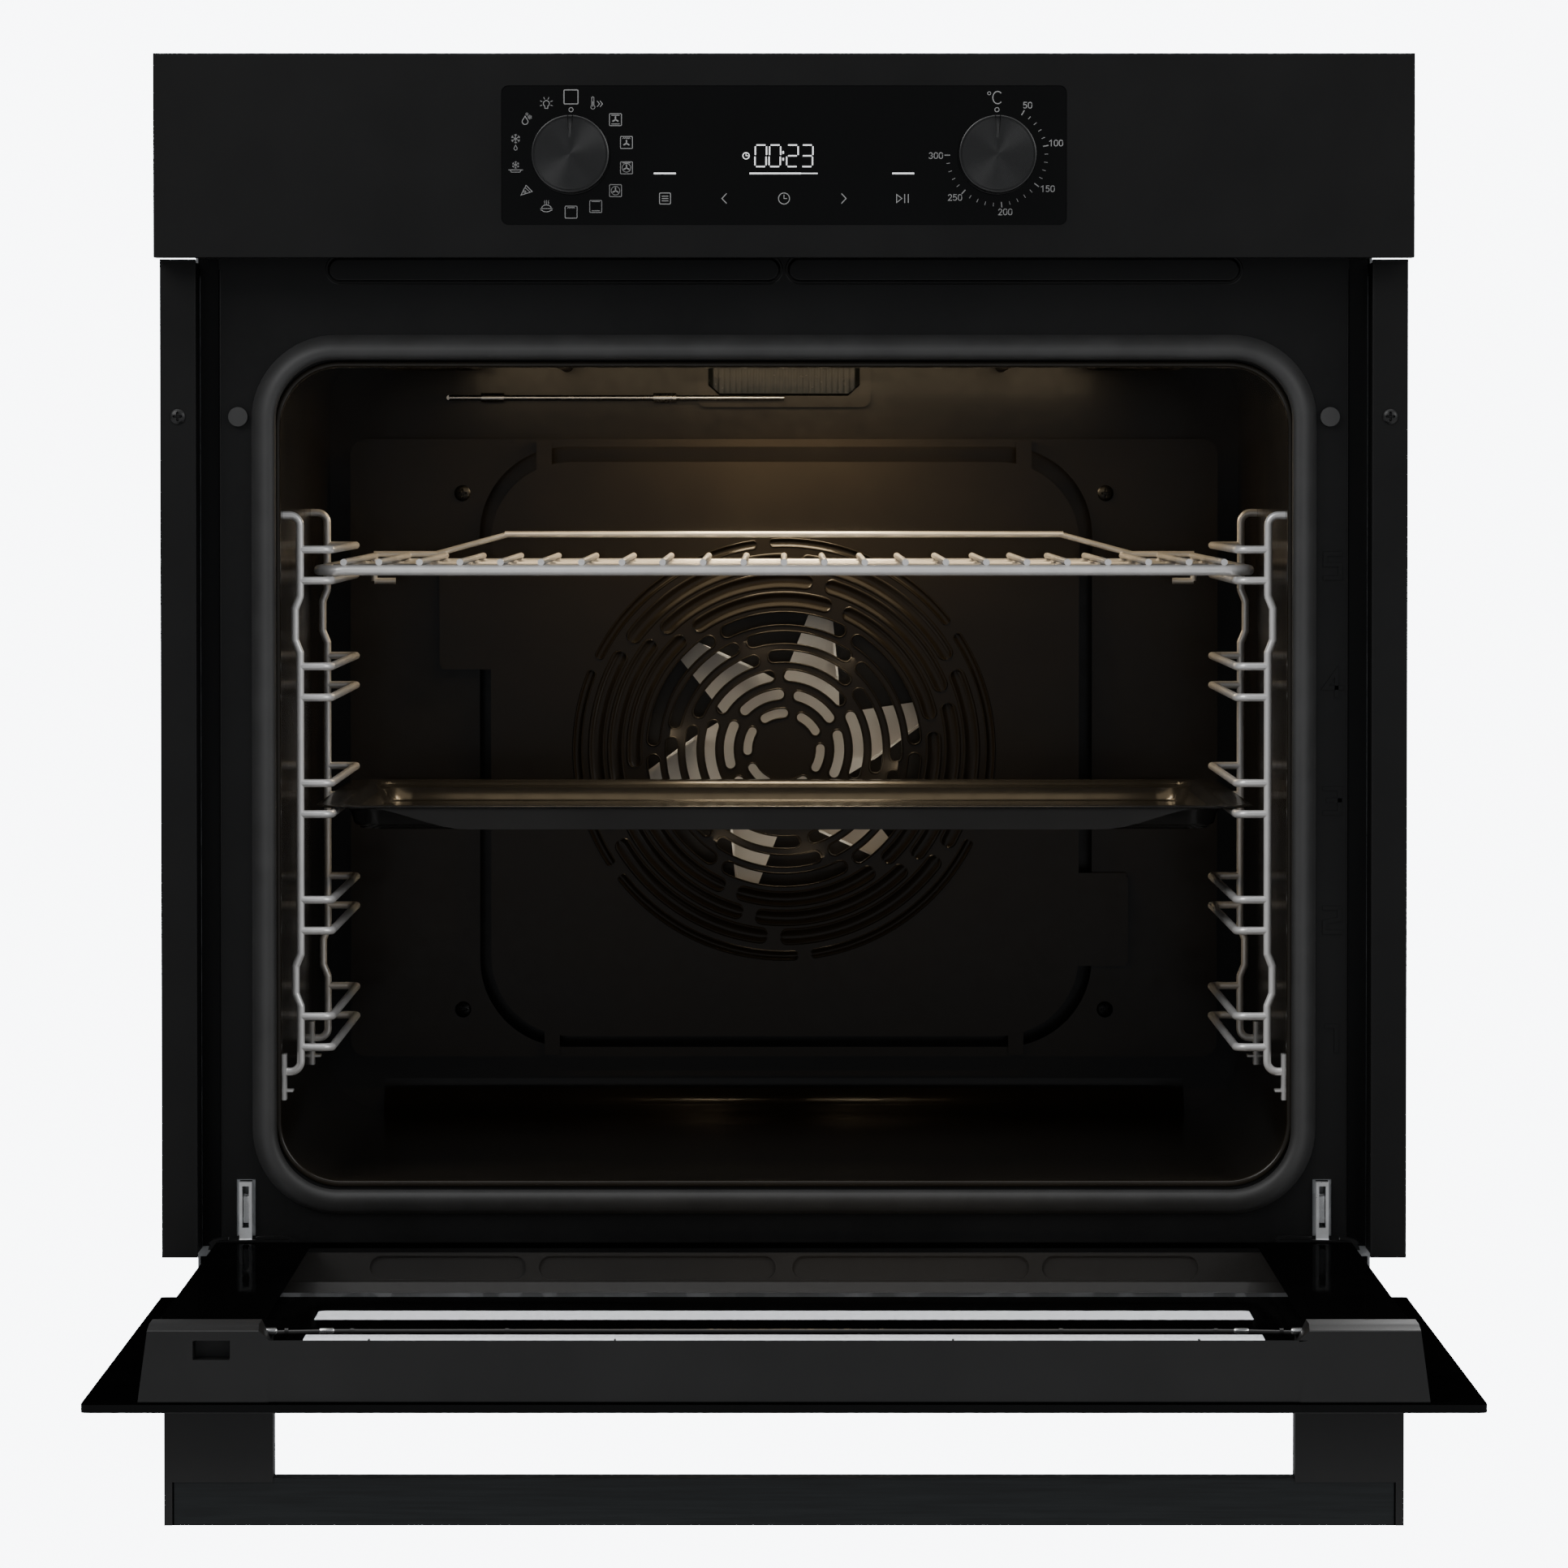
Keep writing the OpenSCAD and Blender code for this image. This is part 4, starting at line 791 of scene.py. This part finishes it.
def centre(node, side=1):
    """The middle of one of a node's two mirrored solids, as X and Z."""
    pts = [v.co for v in frame["nodes"][node].data.vertices if v.co.x * side > 0]
    xs, zs = [p.x / MM for p in pts], [p.z / MM for p in pts]
    return (min(xs) + max(xs)) / 2, (min(zs) + max(zs)) / 2


TRIM_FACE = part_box("right_side_trim")[0].y / MM
fasteners = Shape()
for side in (-1, 1):
    screw(fasteners, *centre("cabinet_screws", side), TRIM_FACE, -1, 3.6, 1.7, 2.0, 23.0, 2.0)
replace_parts(fasteners.object("cabinet_screws_threaded", "chassis", "screw_dark", 30),
            "cabinet_screws")

lo, hi = node_box("baffle_screws")
BAFFLE_SCREW_X = (hi[0] - lo[0]) / 2 - 4.2
BAFFLE_FACE = lo[1] + 2.2
fasteners = Shape()
for x in (-BAFFLE_SCREW_X, BAFFLE_SCREW_X):
    for z in (lo[2] + 4.2, hi[2] - 4.2):
        screw(fasteners, x, z, BAFFLE_FACE, -1, 4.2, 2.1, 2.0, 12.0, 2.2)
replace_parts(fasteners.object("baffle_screws_threaded", "chassis", "screw_dark", 30),
            "baffle_screws")

REAR_FACE = 545 + 1.2
HALF_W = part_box("rear_cover")[1].x / MM
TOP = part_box("top_cover")[1].z / MM
fasteners = Shape()
SIDES = (-HALF_W + 9, HALF_W - 9)
for x, z in [*product((SIDES[0], -150, 0, 150, SIDES[1]), (10, TOP - 9)),
             *product(SIDES, (150, 300, 450))]:
    screw(fasteners, x, z, REAR_FACE, 1, 3.4, 1.6, 1.7, 9.0, 1.8)
fasteners.object("cover_screws", "chassis", "screw_dark", 30)

# ---- grille rims and grooves

PLATE_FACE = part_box("fan_baffle")[0].y / MM
FAN_Z = 252.0
RING_FIRST, RING_STEP = 19.1, 9.95
SLOTS_ROUND, TWIST, FIRST = 6, 8.85, 46.1
SLOT_HALF = (2.5, 2.8, 3.0, 3.1, 3.2, 3.3)
GROOVE_HALF = (3.3, 3.4, 3.5, 1.9)


def grille_arcs(halves, first_ring, bridge):
    """Radius, half width, middle and half span, in radians, of every slot of some rings."""
    for i, half in enumerate(halves):
        ring = i + first_ring
        r = RING_FIRST + ring * RING_STEP
        reach = pi / SLOTS_ROUND - (bridge / 2 + half) / r
        for k in range(SLOTS_ROUND):
            yield r, half, radians(FIRST + ring * TWIST + k * 360 / SLOTS_ROUND), reach


def around(r, a, y):
    return r * cos(a), y, FAN_Z + r * sin(a)


rims = Shape()
for r, half, middle, reach in grille_arcs(SLOT_HALF, 0, 4.6):
    path = []
    steps = max(6, round(r * reach * 2 / 3))
    for k in range(steps + 1):
        path.append(around(r + half + 0.2, middle + reach * (1 - 2 * k / steps), PLATE_FACE))
    for end, turn in ((-1, 1), (1, 0)):
        cx, _, cz = around(r, middle + end * reach, 0)
        heading = middle + end * reach + (0 if end < 0 else pi)
        for k in range(1, 8):
            a = heading - pi * k / 8
            path.append((cx + (half + 0.2) * cos(a), PLATE_FACE,
                         cz + (half + 0.2) * sin(a)))
        if end < 0:
            for k in range(steps + 1):
                path.append(around(r - half - 0.2, middle + reach * (2 * k / steps - 1),
                                   PLATE_FACE))
    rims.tube(path, 0.5, 6, closed=True)
rims.object("grille_rims", "chassis", "enamel_dark", 70)

GROOVE_SECTION = [(-1.12, 0.0), (-1.0, -0.32), (-0.86, -0.36), (-0.72, -0.1), (-0.45, 0.42),
                  (-0.15, 0.62), (0.15, 0.62), (0.45, 0.42), (0.72, -0.1), (0.86, -0.36),
                  (1.0, -0.32), (1.12, 0.0), (0.9, 0.1), (0.6, 0.68), (-0.6, 0.68), (-0.9, 0.1)]
grooves = Shape()
for r, half, middle, reach in grille_arcs(GROOVE_HALF, len(SLOT_HALF), 7.2):
    wide = half + 0.45
    angles = [-(reach + wide / r * cos(pi * k / 16)) for k in range(8)]
    angles += [reach * (k / 12 - 1) for k in range(12)]
    angles += [0.0] + [-a for a in reversed(angles)]
    rings = []
    for a in angles:
        over = max(0.0, (abs(a) - reach) * r / wide)
        width = wide * max(0.06, sqrt(max(0.0, 1 - over * over)))
        rings.append([around(r + u * width, middle + a, PLATE_FACE + y)
                      for u, y in GROOVE_SECTION])
    grooves.rings(rings)
grooves.object("grille_grooves", "chassis", "enamel_dark", 50)

# ---- folds of the cavity and frame

lo, hi = node_box("cavity")
INNER_X, FLOOR_Z, REAR_Y = hi[0] - 1.2, lo[2] + 1.2, hi[1] - 1.2
cove = Shape()
bow = [(REAR_Y - 17 + 17 * sin(radians(a)), FLOOR_Z + 17 - 17 * cos(radians(a)))
       for a in range(0, 91, 6)]
cove.rings([[(x, y, z) for y, z in bow] + [(x, REAR_Y + 0.4, FLOOR_Z - 0.4)]
            for x in (-212, -120, 0, 120, 212)])
cove.object("cavity_cove", "chassis", "enamel_dark", 40)

FRAME_FACE = 17.0
MOUTH_TOP = 448.0
lip = Shape()
lip.rings([[(x + nx * u, FRAME_FACE - 0.2 + v, z + nz * u) for u, v in circle(1.7, 12)]
           for (x, z), (nx, nz) in round_loop(-INNER_X - 1, INNER_X + 1, FLOOR_Z - 1,
                                              MOUTH_TOP + 1, 30, 16)], closed=True)
lip.object("mouth_lip", "chassis", "enamel_dark", 60)

beads = Shape()
BEAD_Z, BEAD_R = 494.0, 4.6
slope = [(0.0, -1.62), (0.25, -1.55), (1.25, -0.25), (1.6, -0.2), (2.1, -0.3), (2.6, 0.02),
         (2.6, 0.3), (0.0, 0.3)]
for s in (-1, 1):
    x0, x1 = sorted((s * 3, s * 216))
    loop = round_loop(x0, x1, BEAD_Z - BEAD_R, BEAD_Z + BEAD_R, BEAD_R - 0.01, 8)
    beads.rings([[(x + nx * u, FRAME_FACE + y, z + nz * u) for u, y in slope]
                 for (x, z), (nx, nz) in loop], closed=True)
beads.object("frame_beads", "chassis", "frame_black", 25)

edges = Shape()
FRAME_EDGE = 269.0
edges.tube([(FRAME_EDGE - 0.4, FRAME_FACE + 0.35, z) for z in (28, 150, 300, 420, 494)], 0.6, 10)
edges.mirrored().object("frame_edges", "chassis", "frame_black", 60)
edges = Shape()
lo, hi = node_box("right_side_trim")
edges.tube([(lo[0] + 0.4, lo[1] + 0.42, z) for z in (lo[2] + 0.5, 150, 300, 420, hi[2] - 0.5)],
           0.55, 10)
edges.mirrored().object("trim_edges", "chassis", "trim_black", 60)

# ---- baking tray

lo, hi = node_box("baking_tray")
TRAY_RIM, TRAY_FOOT = hi[2], lo[2]


def tray_ring(inset, z, r):
    r = max(r, 0.6)
    return [(x, y, z) for (x, y), _ in round_loop(lo[0] + inset, hi[0] - inset,
                                                  lo[1] + inset, hi[1] - inset, r, 10)]


tray = Shape()
FLANGE = 12.6
TRAY_LEVELS = [
    (150, TRAY_FOOT + 1.9, 8), (60, TRAY_FOOT + 1.7, 9), (30, TRAY_FOOT + 1.4, 10),
    (24, TRAY_FOOT + 1.2, 11), (20.4, TRAY_FOOT + 1.5, 12), (18.4, TRAY_FOOT + 3, 14),
    (16.8, TRAY_FOOT + 8, 16), (15.4, TRAY_RIM - 2.6, 17), (14.6, TRAY_RIM - 1.0, 18),
    (13.2, TRAY_RIM - 0.25, 19), (FLANGE - 1, TRAY_RIM, 20), (3, TRAY_RIM, 24),
    (1.2, TRAY_RIM - 0.05, 25), (0.3, TRAY_RIM - 0.3, 26), (0, TRAY_RIM - 0.65, 26),
    (0.3, TRAY_RIM - 1.0, 26), (1.2, TRAY_RIM - 1.2, 25), (FLANGE, TRAY_RIM - 1.2, 20),
    (14.6, TRAY_RIM - 1.6, 18), (15.9, TRAY_RIM - 3, 17), (17.6, TRAY_FOOT + 8, 16),
    (19.4, TRAY_FOOT + 2.4, 14), (21.4, TRAY_FOOT + 0.5, 12), (24.6, TRAY_FOOT, 11),
    (30, TRAY_FOOT + 0.2, 10), (60, TRAY_FOOT + 0.5, 9), (150, TRAY_FOOT + 0.7, 8)]
tray.rings([tray_ring(*level) for level in TRAY_LEVELS])
apron_top, apron_low = TRAY_RIM - 0.4, TRAY_FOOT + 0.6
outline = []
for i in range(61):
    x = -205 + 410 * i / 60
    t = max(0.0, min(1.0, (205 - abs(x)) / 52))
    outline.append((x, apron_top + (apron_low - apron_top) * t * t * (3 - 2 * t)))
front = [[(x, lo[1] + 1.4 + (apron_top - z) * 0.22, z) for x, z in outline],
         [(x, lo[1] + 2.2 + (apron_top - z) * 0.22, z) for x, z in outline],
         [(x, lo[1] + 2.2, apron_top + 0.1) for x, z in outline],
         [(x, lo[1] + 1.4, apron_top + 0.1) for x, z in outline]]
tray.rings([[row[i] for row in front] for i in range(len(outline))])
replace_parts(tray.object("tray_pressed", "tray", "enamel_tray", 40), "baking_tray")

# ---- balance springs

springs = Shape()
x, _ = centre("hinge_springs")
COILS, COIL_R, WIRE_R, SPRING_Z0, SPRING_Y = 46, 3.5, 0.85, 70.5, -5.0
turns = [(x + COIL_R * cos(TAU * k / 14), SPRING_Y + COIL_R * sin(TAU * k / 14),
          SPRING_Z0 + 88 * k / (14 * COILS)) for k in range(14 * COILS + 1)]
springs.tube([opened(*p) for p in turns], WIRE_R, 7)
rod = [(x, SPRING_Y, z) for z in (51, 80, 120, 169)]
springs.tube([opened(*p) for p in rod], 1.5, 10)
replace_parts(springs.mirrored().object("balance_springs", "door", "hinge_zinc", 60),
            "hinge_springs")

# ---- insulation


FELT_CELL, FELT_DEPTH = 7.0, 1.3


def felt(shape, lo, hi):
    """A mat with a matted, uneven skin, kept inside its CAD box."""
    counts = [max(1, round((b - a) / FELT_CELL)) for a, b in zip(lo, hi)]
    index, verts, faces = {}, [], []

    def vertex(i, j, k):
        key = (i, j, k)
        if key not in index:
            p = Vector([a + (b - a) * n / c for a, b, n, c in zip(lo, hi, key, counts)])
            mid = Vector([(a + b) / 2 for a, b in zip(lo, hi)])
            push = FELT_DEPTH * (0.5 + 0.5 * noise.noise(p * 0.06) + 0.4 * noise.noise(p * 0.25))
            inward = Vector([(1 if n == 0 else -1 if n == c else 0)
                             for n, c in zip(key, counts)])
            index[key] = len(verts)
            verts.append(p + inward * abs(push) + (mid - p) * 0.001)
        return index[key]

    for u, v, w in ((0, 1, 2), (0, 2, 1), (1, 2, 0)):
        for a, b, c in product(range(counts[u]), range(counts[v]), (0, counts[w])):
            face = []
            for step_a, step_b in ((0, 0), (1, 0), (1, 1), (0, 1)):
                corner = [0, 0, 0]
                corner[u], corner[v], corner[w] = a + step_a, b + step_b, c
                face.append(vertex(*corner))
            faces.append(face)
    shape.add(verts, faces)


jacket = Shape()
SIDE_IN = 240.5 + 1.2 + 3.4
MAT = 16
felt(jacket, (-SIDE_IN - MAT, 40, 66), (-SIDE_IN, 496, 464.6))
felt(jacket, (SIDE_IN, 40, 66), (SIDE_IN + MAT, 496, 464.6))
felt(jacket, (-SIDE_IN, 40, 466.6), (SIDE_IN, 496, 482.6))
felt(jacket, (-200, 498, 70), (-60, 514, 430))
felt(jacket, (60, 498, 70), (200, 514, 430))
felt(jacket, (-59, 498, 312), (59, 514, 430))
felt(jacket, (-59, 498, 70), (59, 514, 138))
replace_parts(jacket.object("insulation_felt", "chassis", "glass_wool", 70), "insulation")

# ---- door glass borders

FRIT_T = 0.12


def border(shape, y0, y1, outer, inner, r_out, r_in, ease=0.0):
    """A border on a closed pane, from y0 to y1, between two round-cornered outlines."""
    outside = [p for p, _ in round_loop(*outer, r_out, 6)]
    eased = [p for p, _ in round_loop(outer[0] + ease, outer[1] - ease, outer[2] + ease,
                                      outer[3] - ease, r_out, 6)]
    inside = [p for p, _ in round_loop(*inner, r_in, 6)]
    rings = []
    for (ax, az), (ex, ez), (bx, bz) in zip(outside, eased, inside):
        rings.append([opened(ex, y0, ez), opened(ax, y0 + ease, az), opened(ax, y1 - ease, az),
                      opened(ex, y1, ez), opened(bx, y1, bz), opened(bx, y0, bz)])
    shape.rings(rings, closed=True)


OUTSIDE, INSIDE = -22.0, -18.0      # the outer pane's two faces, with the door closed
INNER_FACE = 11                     # the inner pane's face towards the cavity
WINDOW = (-218.5, 218.5, 72, 412)
lo, hi = node_box("door_outer_glass")
PANE = (lo[0], hi[0], 18 - hi[1], 18 - lo[1])
inset = (PANE[0] + 0.7, PANE[1] - 0.7, PANE[2] + 0.7, PANE[3] - 0.7)
edge = Shape()
border(edge, OUTSIDE, INSIDE - 0.1, PANE, inset, 3, 2.4, 0.35)
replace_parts(edge.object("outer_glass_border", "door", "insert_gloss", 30), "door_outer_glass")
for name, y, glass in (("window", INSIDE - 0.1, WINDOW_GLASS),
                       ("face", OUTSIDE + 0.1, OUTER_FACE)):
    sheet = Shape()
    sheet.add([opened(x, y, z) for (x, z), _ in round_loop(*inset, 3, 6)], [tuple(range(28))])
    sheet.object("outer_glass_" + name, "door", "door_glass", 30, material=glass)
frit = Shape()
border(frit, INSIDE - 0.3, INSIDE, PANE, WINDOW, 3, 4, 0.1)
INNER_PANE = (-268.8, 268.8, 37.2, 461.8)
border(frit, INNER_FACE - FRIT_T - 0.02, INNER_FACE - 0.02, INNER_PANE,
       (-223.2, 223.2, 43, 424), 3, 4)
border(frit, 8.2, INNER_FACE - FRIT_T, INNER_PANE, (-268.2, 268.2, 37.8, 461.2), 3, 2.6)
frit.object("inner_frit", "door", "door_glass", material=FRIT)

# ---- door moulding


def moulding_ring(face, ridge, top, x_low, x_top, deep=0.0):
    """A section across the top moulding of the open door; deep sinks its latch recess."""
    low, back = 4.2, -445.2

    def at(z):
        t = max(0.0, min(1.0, (z - low) / (top - low)))
        return x_low + (x_top - x_low) * t

    points = [(face + 0.6, low), (face, low + 0.6), (face, 22.6), (face + deep, 23.2),
              (face + deep, 30.2), (face, 30.8), (face, ridge), (face + 0.5, ridge + 0.5),
              (face + 8, top - 0.4), (face + 9, top), (back - 1, top), (back, top - 1),
              (back, low)]
    return [(at(z), y, z) for y, z in points]


BLOCK = (-476.6, 34.6, 37.0)
BAR = (-475.6, 30.2, 27.0)
ends = [moulding_ring(*BLOCK, -273.4, -269.0), moulding_ring(*BLOCK, -272.2, -267.6)]
latch = [moulding_ring(*BLOCK, x, x, deep)
         for x, deep in ((-250.0, 0), (-249.4, 9), (-234.8, 9), (-234.2, 0))]
inner = [moulding_ring(*BLOCK, -218.6, -222.4), moulding_ring(*BAR, -217.8, -217.8)]
cap = [tuple(Vector(p) * 0.985 + Vector((p[0] + 1.2, -456, 18)) * 0.015) for p in ends[0]]
left = [cap] + ends + latch + inner
right = [[(-x, y, z) for x, y, z in ring] for ring in reversed([cap] + ends + inner)]
moulding = Shape()
moulding.rings(left + right)
for s in (-1, 1):
    x0, x1 = sorted((s * 219, s * 269.8))
    moulding.block((x0, -446, 4.2), (x1, -419.4, 28.8), 0.8)
    for x in (72, 176.8):
        moulding.block((s * x - 0.45, -456, 12), (s * x + 0.45, -445.4, 28.6), 0.15)
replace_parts(moulding.object("trim_moulding", "door", "door_trim", 28), "door_top_trim")

# ---- rod and clips at the pane's edge

rod = Shape()
ROD_Y, ROD_Z = -445.6, 31.8
rod.tube([(x, ROD_Y, ROD_Z - max(0, abs(x) - 190) * 0.02)
          for x in (-216, -205, -192, -120, 0, 120, 192, 205, 216)], 1.0, 14)
for x in (-212, -184, -118, 118, 184, 212):
    rod.tube([(x - 0.8, ROD_Y, ROD_Z), (x + 0.8, ROD_Y, ROD_Z)], 1.35, 14)
rod.object("pane_rod", "door", "screw_dark", 40, material=MATERIALS["enamel_tray"])
clips = Shape()
for s in (-1, 1):
    x0, x1 = sorted((s * 216, s * 223.6))
    clips.block((x0, ROD_Y - 1.6, 30.6), (x1, ROD_Y + 5, 33.0), 0.5)
    x0, x1 = sorted((s * 191.6, s * 198.1))
    clips.block((x0, ROD_Y - 1.5, 31.0), (x1, ROD_Y + 3.6, 33.0), 0.5)
clips.object("pane_clips", "door", "hinge_zinc", 40, material=MATERIALS["stainless"])

# ---- hinge covers on the door

covers = Shape()
arch = [(-273, 29.2), (-272.4, 31.0), (-270.5, 32.6), (-267, 33.6), (-240, 34.2), (-234.6, 34.0),
        (-233.2, 33.2), (-232.8, 29.2)]
covers.rings([[(x, y, z) for x, z in arch] for y in (-18.6, -18.3, -16.6, -16.3)])
outer_ledge = [(-272.6, 32.4), (-270.8, 34.0), (-267, 34.9), (-263.4, 35.0), (-263.4, 34.0),
               (-267, 33.8), (-270, 32.8), (-271.6, 31.6)]
inner_ledge = [(-250.4, 35.2), (-240, 35.6), (-234.6, 35.4), (-233, 34.4), (-233.6, 33.4),
               (-235, 34.2), (-240, 34.5), (-250.4, 34.2)]
for ledge in (outer_ledge, inner_ledge):
    covers.rings([[(x, y, z) for x, z in ledge] for y in (-18.4, -18.2, -12.2, -12)])
covers.mirrored().object("hinge_covers", "door", "frame_black", 30)

# ---- hinge catches

for side, word in ((1, "right"), (-1, "left")):
    lo, hi = node_box(word + "_hinge_lock")
    catch = Shape()
    pivot_y, pivot_z = 19.5, 41.0
    plate = [(-2.6, -1.8), (0, -2.4), (2.2, -1.6), (2.6, 0.4), (1.6, 2.2), (1.3, 6.0), (1.2, 9.6),
             (2.6, 11.2), (1.8, 12.0), (-0.2, 11.9), (-1.4, 10.4), (-1.5, 6.0), (-2.4, 1.8)]
    x0, x1 = lo[0] + 1.6, hi[0] - 1.6
    catch.rings([[(x, pivot_y + u, pivot_z + v) for u, v in plate]
                 for x in (x0, x0 + 0.3, x1 - 0.3, x1)])
    catch.tube([(lo[0] + 0.05, pivot_y, pivot_z), (hi[0] - 0.05, pivot_y, pivot_z)], 1.0, 20)
    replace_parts(catch.object(word + "_catch_hook", "hinge_lock_" + word, "stainless", 40),
                word + "_hinge_lock")

# ---- lamp lens

lo, hi = node_box("lamp_lens")
prism = Shape()
RIBS = 26
face, back = lo[1], hi[1]
columns = []
for i in range(RIBS * 4 + 1):
    x = lo[0] + (hi[0] - lo[0]) * i / (RIBS * 4)
    edge = min(x - lo[0], hi[0] - x)
    z0 = lo[2] + max(0.0, 6 - edge) * 0.9
    z1 = hi[2] - max(0.0, 3 - edge) * 0.9
    wave = 0.3 * (1 - cos(TAU * i / 4)) * (0.9 if edge > 3 else 0)
    round_off = max(0, 3 - edge) * 0.4
    columns.append([(x, face + 1.0 + wave * 0.5 + round_off, z0 + 1.2),
                    (x, face + 0.2 + wave + round_off, (z0 + z1) / 2),
                    (x, face + 1.0 + wave * 0.5 + round_off, z1 - 1.2),
                    (x, back, z1), (x, back, z0)])
prism.rings(columns)
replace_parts(prism.object("lamp_prism_lens", "chassis", "lamp_glass", 50), "lamp_lens")

# ---- parts on the control board

lo, hi = node_box("control_board")
parts = Shape()
BOARD_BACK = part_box("control_board")[0].y / MM + 1.6
for x, z, w, h, d in ((-40, 8, 14, 14, 2.2), (-20, -14, 9, 6, 1.6), (10, -16, 12, 8, 2.0),
                      (44, 6, 16, 10, 8.5), (44, -12, 10, 8, 6.5), (-48, -14, 8, 8, 5.0),
                      (33, -20, 6, 4, 2.4), (-4, -20, 5, 3, 1.4)):
    parts.block((x - w / 2, BOARD_BACK - 0.1, KNOB_Z + z - h / 2),
                (x + w / 2, BOARD_BACK + d, KNOB_Z + z + h / 2), 0.3)
for x, z, r, h in ((-54, 12, 3.1, 9), (-30, -20, 2.6, 7), (54, -20, 3.1, 9), (54, 20, 2.6, 6)):
    parts.lathe([(0.05, BOARD_BACK + h), (r - 0.4, BOARD_BACK + h), (r, BOARD_BACK + h - 0.4),
                 (r, BOARD_BACK + 1.2), (r - 0.25, BOARD_BACK + 0.9), (r, BOARD_BACK + 0.6),
                 (r, BOARD_BACK - 0.1), (0.05, BOARD_BACK - 0.1)], (x, KNOB_Z + z), 20)
parts.object("board_parts", "chassis", "plastic_black", 35)

# ---- stage, lights and camera


def stage_floor():
    """A plain pale floor below the niche, out of the camera's own view."""
    mesh = bpy.data.meshes.new("floor")
    level = CAD_BOX[0][2] - 0.29
    verts = [(x, y, level) for x, y in ((-2.4, -2.8), (2.4, -2.8), (2.4, 1.5), (-2.4, 1.5))]
    mesh.from_pydata(verts, [], [(0, 1, 2, 3)])
    floor = bpy.data.objects.new("floor", mesh)
    mesh.materials.append(surface("pale_floor", grey(0.8), grey(0.83), (0.6, 0.7), grain=(40,
                                  0.02, 0.00004), colour_scale=1.5))
    in_scene(floor)


def area_light(name, place, target, size, power, colour=(1, 1, 1), height=None):
    """A square soft light, or a rectangular one when it is given a height."""
    data = bpy.data.lights.new(name, "AREA")
    data.energy = power
    data.color = colour
    data.size = size
    if height:
        data.shape = "RECTANGLE"
        data.size_y = height
    light = bpy.data.objects.new(name, data)
    light.location = place
    light.rotation_euler = (Vector(target) - Vector(place)).to_track_quat("-Z", "Y").to_euler()
    in_scene(light)
    return light


def glow_light(name, place, target, width, power, colour):
    """A slit of light that brightens what it faces without a mirrored glint."""
    area_light(name, place, target, width, power, colour, 0.004).visible_glossy = False


stage_floor()
area_light("key_softbox", (-1.9, -2.6, 2.4), (0, 0, 0.25), 1.8, 60)
area_light("fill_softbox", (2.4, -2.2, 1.5), (0, 0, 0.3), 1.8, 30)
area_light("top_softbox", (0, -0.2, 2.6), (0, 0, 0.3), 2.2, 30)
area_light("rear_softbox", (1.2, 3.6, 2.2), (0, 0.4, 0.3), 2.0, 60)
LAMP = (1.0, 0.76, 0.46)
area_light("oven_lamp", (0, 0.405, 0.452), (0, 0.385, 0.15), 0.10, 0.42, LAMP, 0.03)
area_light("oven_lamp_wide", (0, 0.30, 0.452), (0, 0.36, 0.15), 0.34, 0.35, LAMP, 0.12)
glow_light("oven_floor_glow", (0, 0.24, 0.205), (0, 0.46, 0.06), 0.36, 0.10, LAMP)
glow_light("door_glow_wide", (0, -0.20, 0.026), (0, -0.03, 0.018), 0.44, 0.05, (1, 0.97, 0.9))
glow_light("door_glow", (0.04, -0.16, 0.026), (0.04, -0.03, 0.018), 0.2, 0.06, LAMP)
GLOW_R, BEHIND_GRILLE, FAN_MIDDLE = 0.062, 0.4562, (0, 0.48, 0.252)
for k in range(6):
    turn = radians(38 + 60 * k)
    place = (GLOW_R * sin(turn), BEHIND_GRILLE, FAN_MIDDLE[2] + GLOW_R * cos(turn))
    glow_light("fan_glow_%d" % k, place, FAN_MIDDLE, 0.05, 0.009, (1.0, 0.9, 0.72))

# The world: white to look at, and a soft grey as a source of light
world = bpy.data.worlds.new("studio")
world.use_nodes = True
sky = world.node_tree
backdrop = sky.nodes["Background"]
backdrop.inputs["Color"].default_value = (0.93, 0.96, 1.0, 1)
seen = sky.nodes.new("ShaderNodeLightPath")
power = sky.nodes.new("ShaderNodeMapRange")
power.inputs["To Min"].default_value = 0.3
power.inputs["To Max"].default_value = 9.0
sky.links.new(seen.outputs["Is Camera Ray"], power.inputs["Value"])
sky.links.new(power.outputs["Result"], backdrop.inputs["Strength"])
bpy.context.scene.world = world

lens = bpy.data.cameras.new("camera")
lens.sensor_width = 36
lens.lens = 205.1
lens.clip_end = 60
camera = bpy.data.objects.new("camera", lens)
camera.location = (0, -4.2417, 0.3977)
camera.rotation_euler = (radians(88), 0, 0)
in_scene(camera)
bpy.context.scene.camera = camera
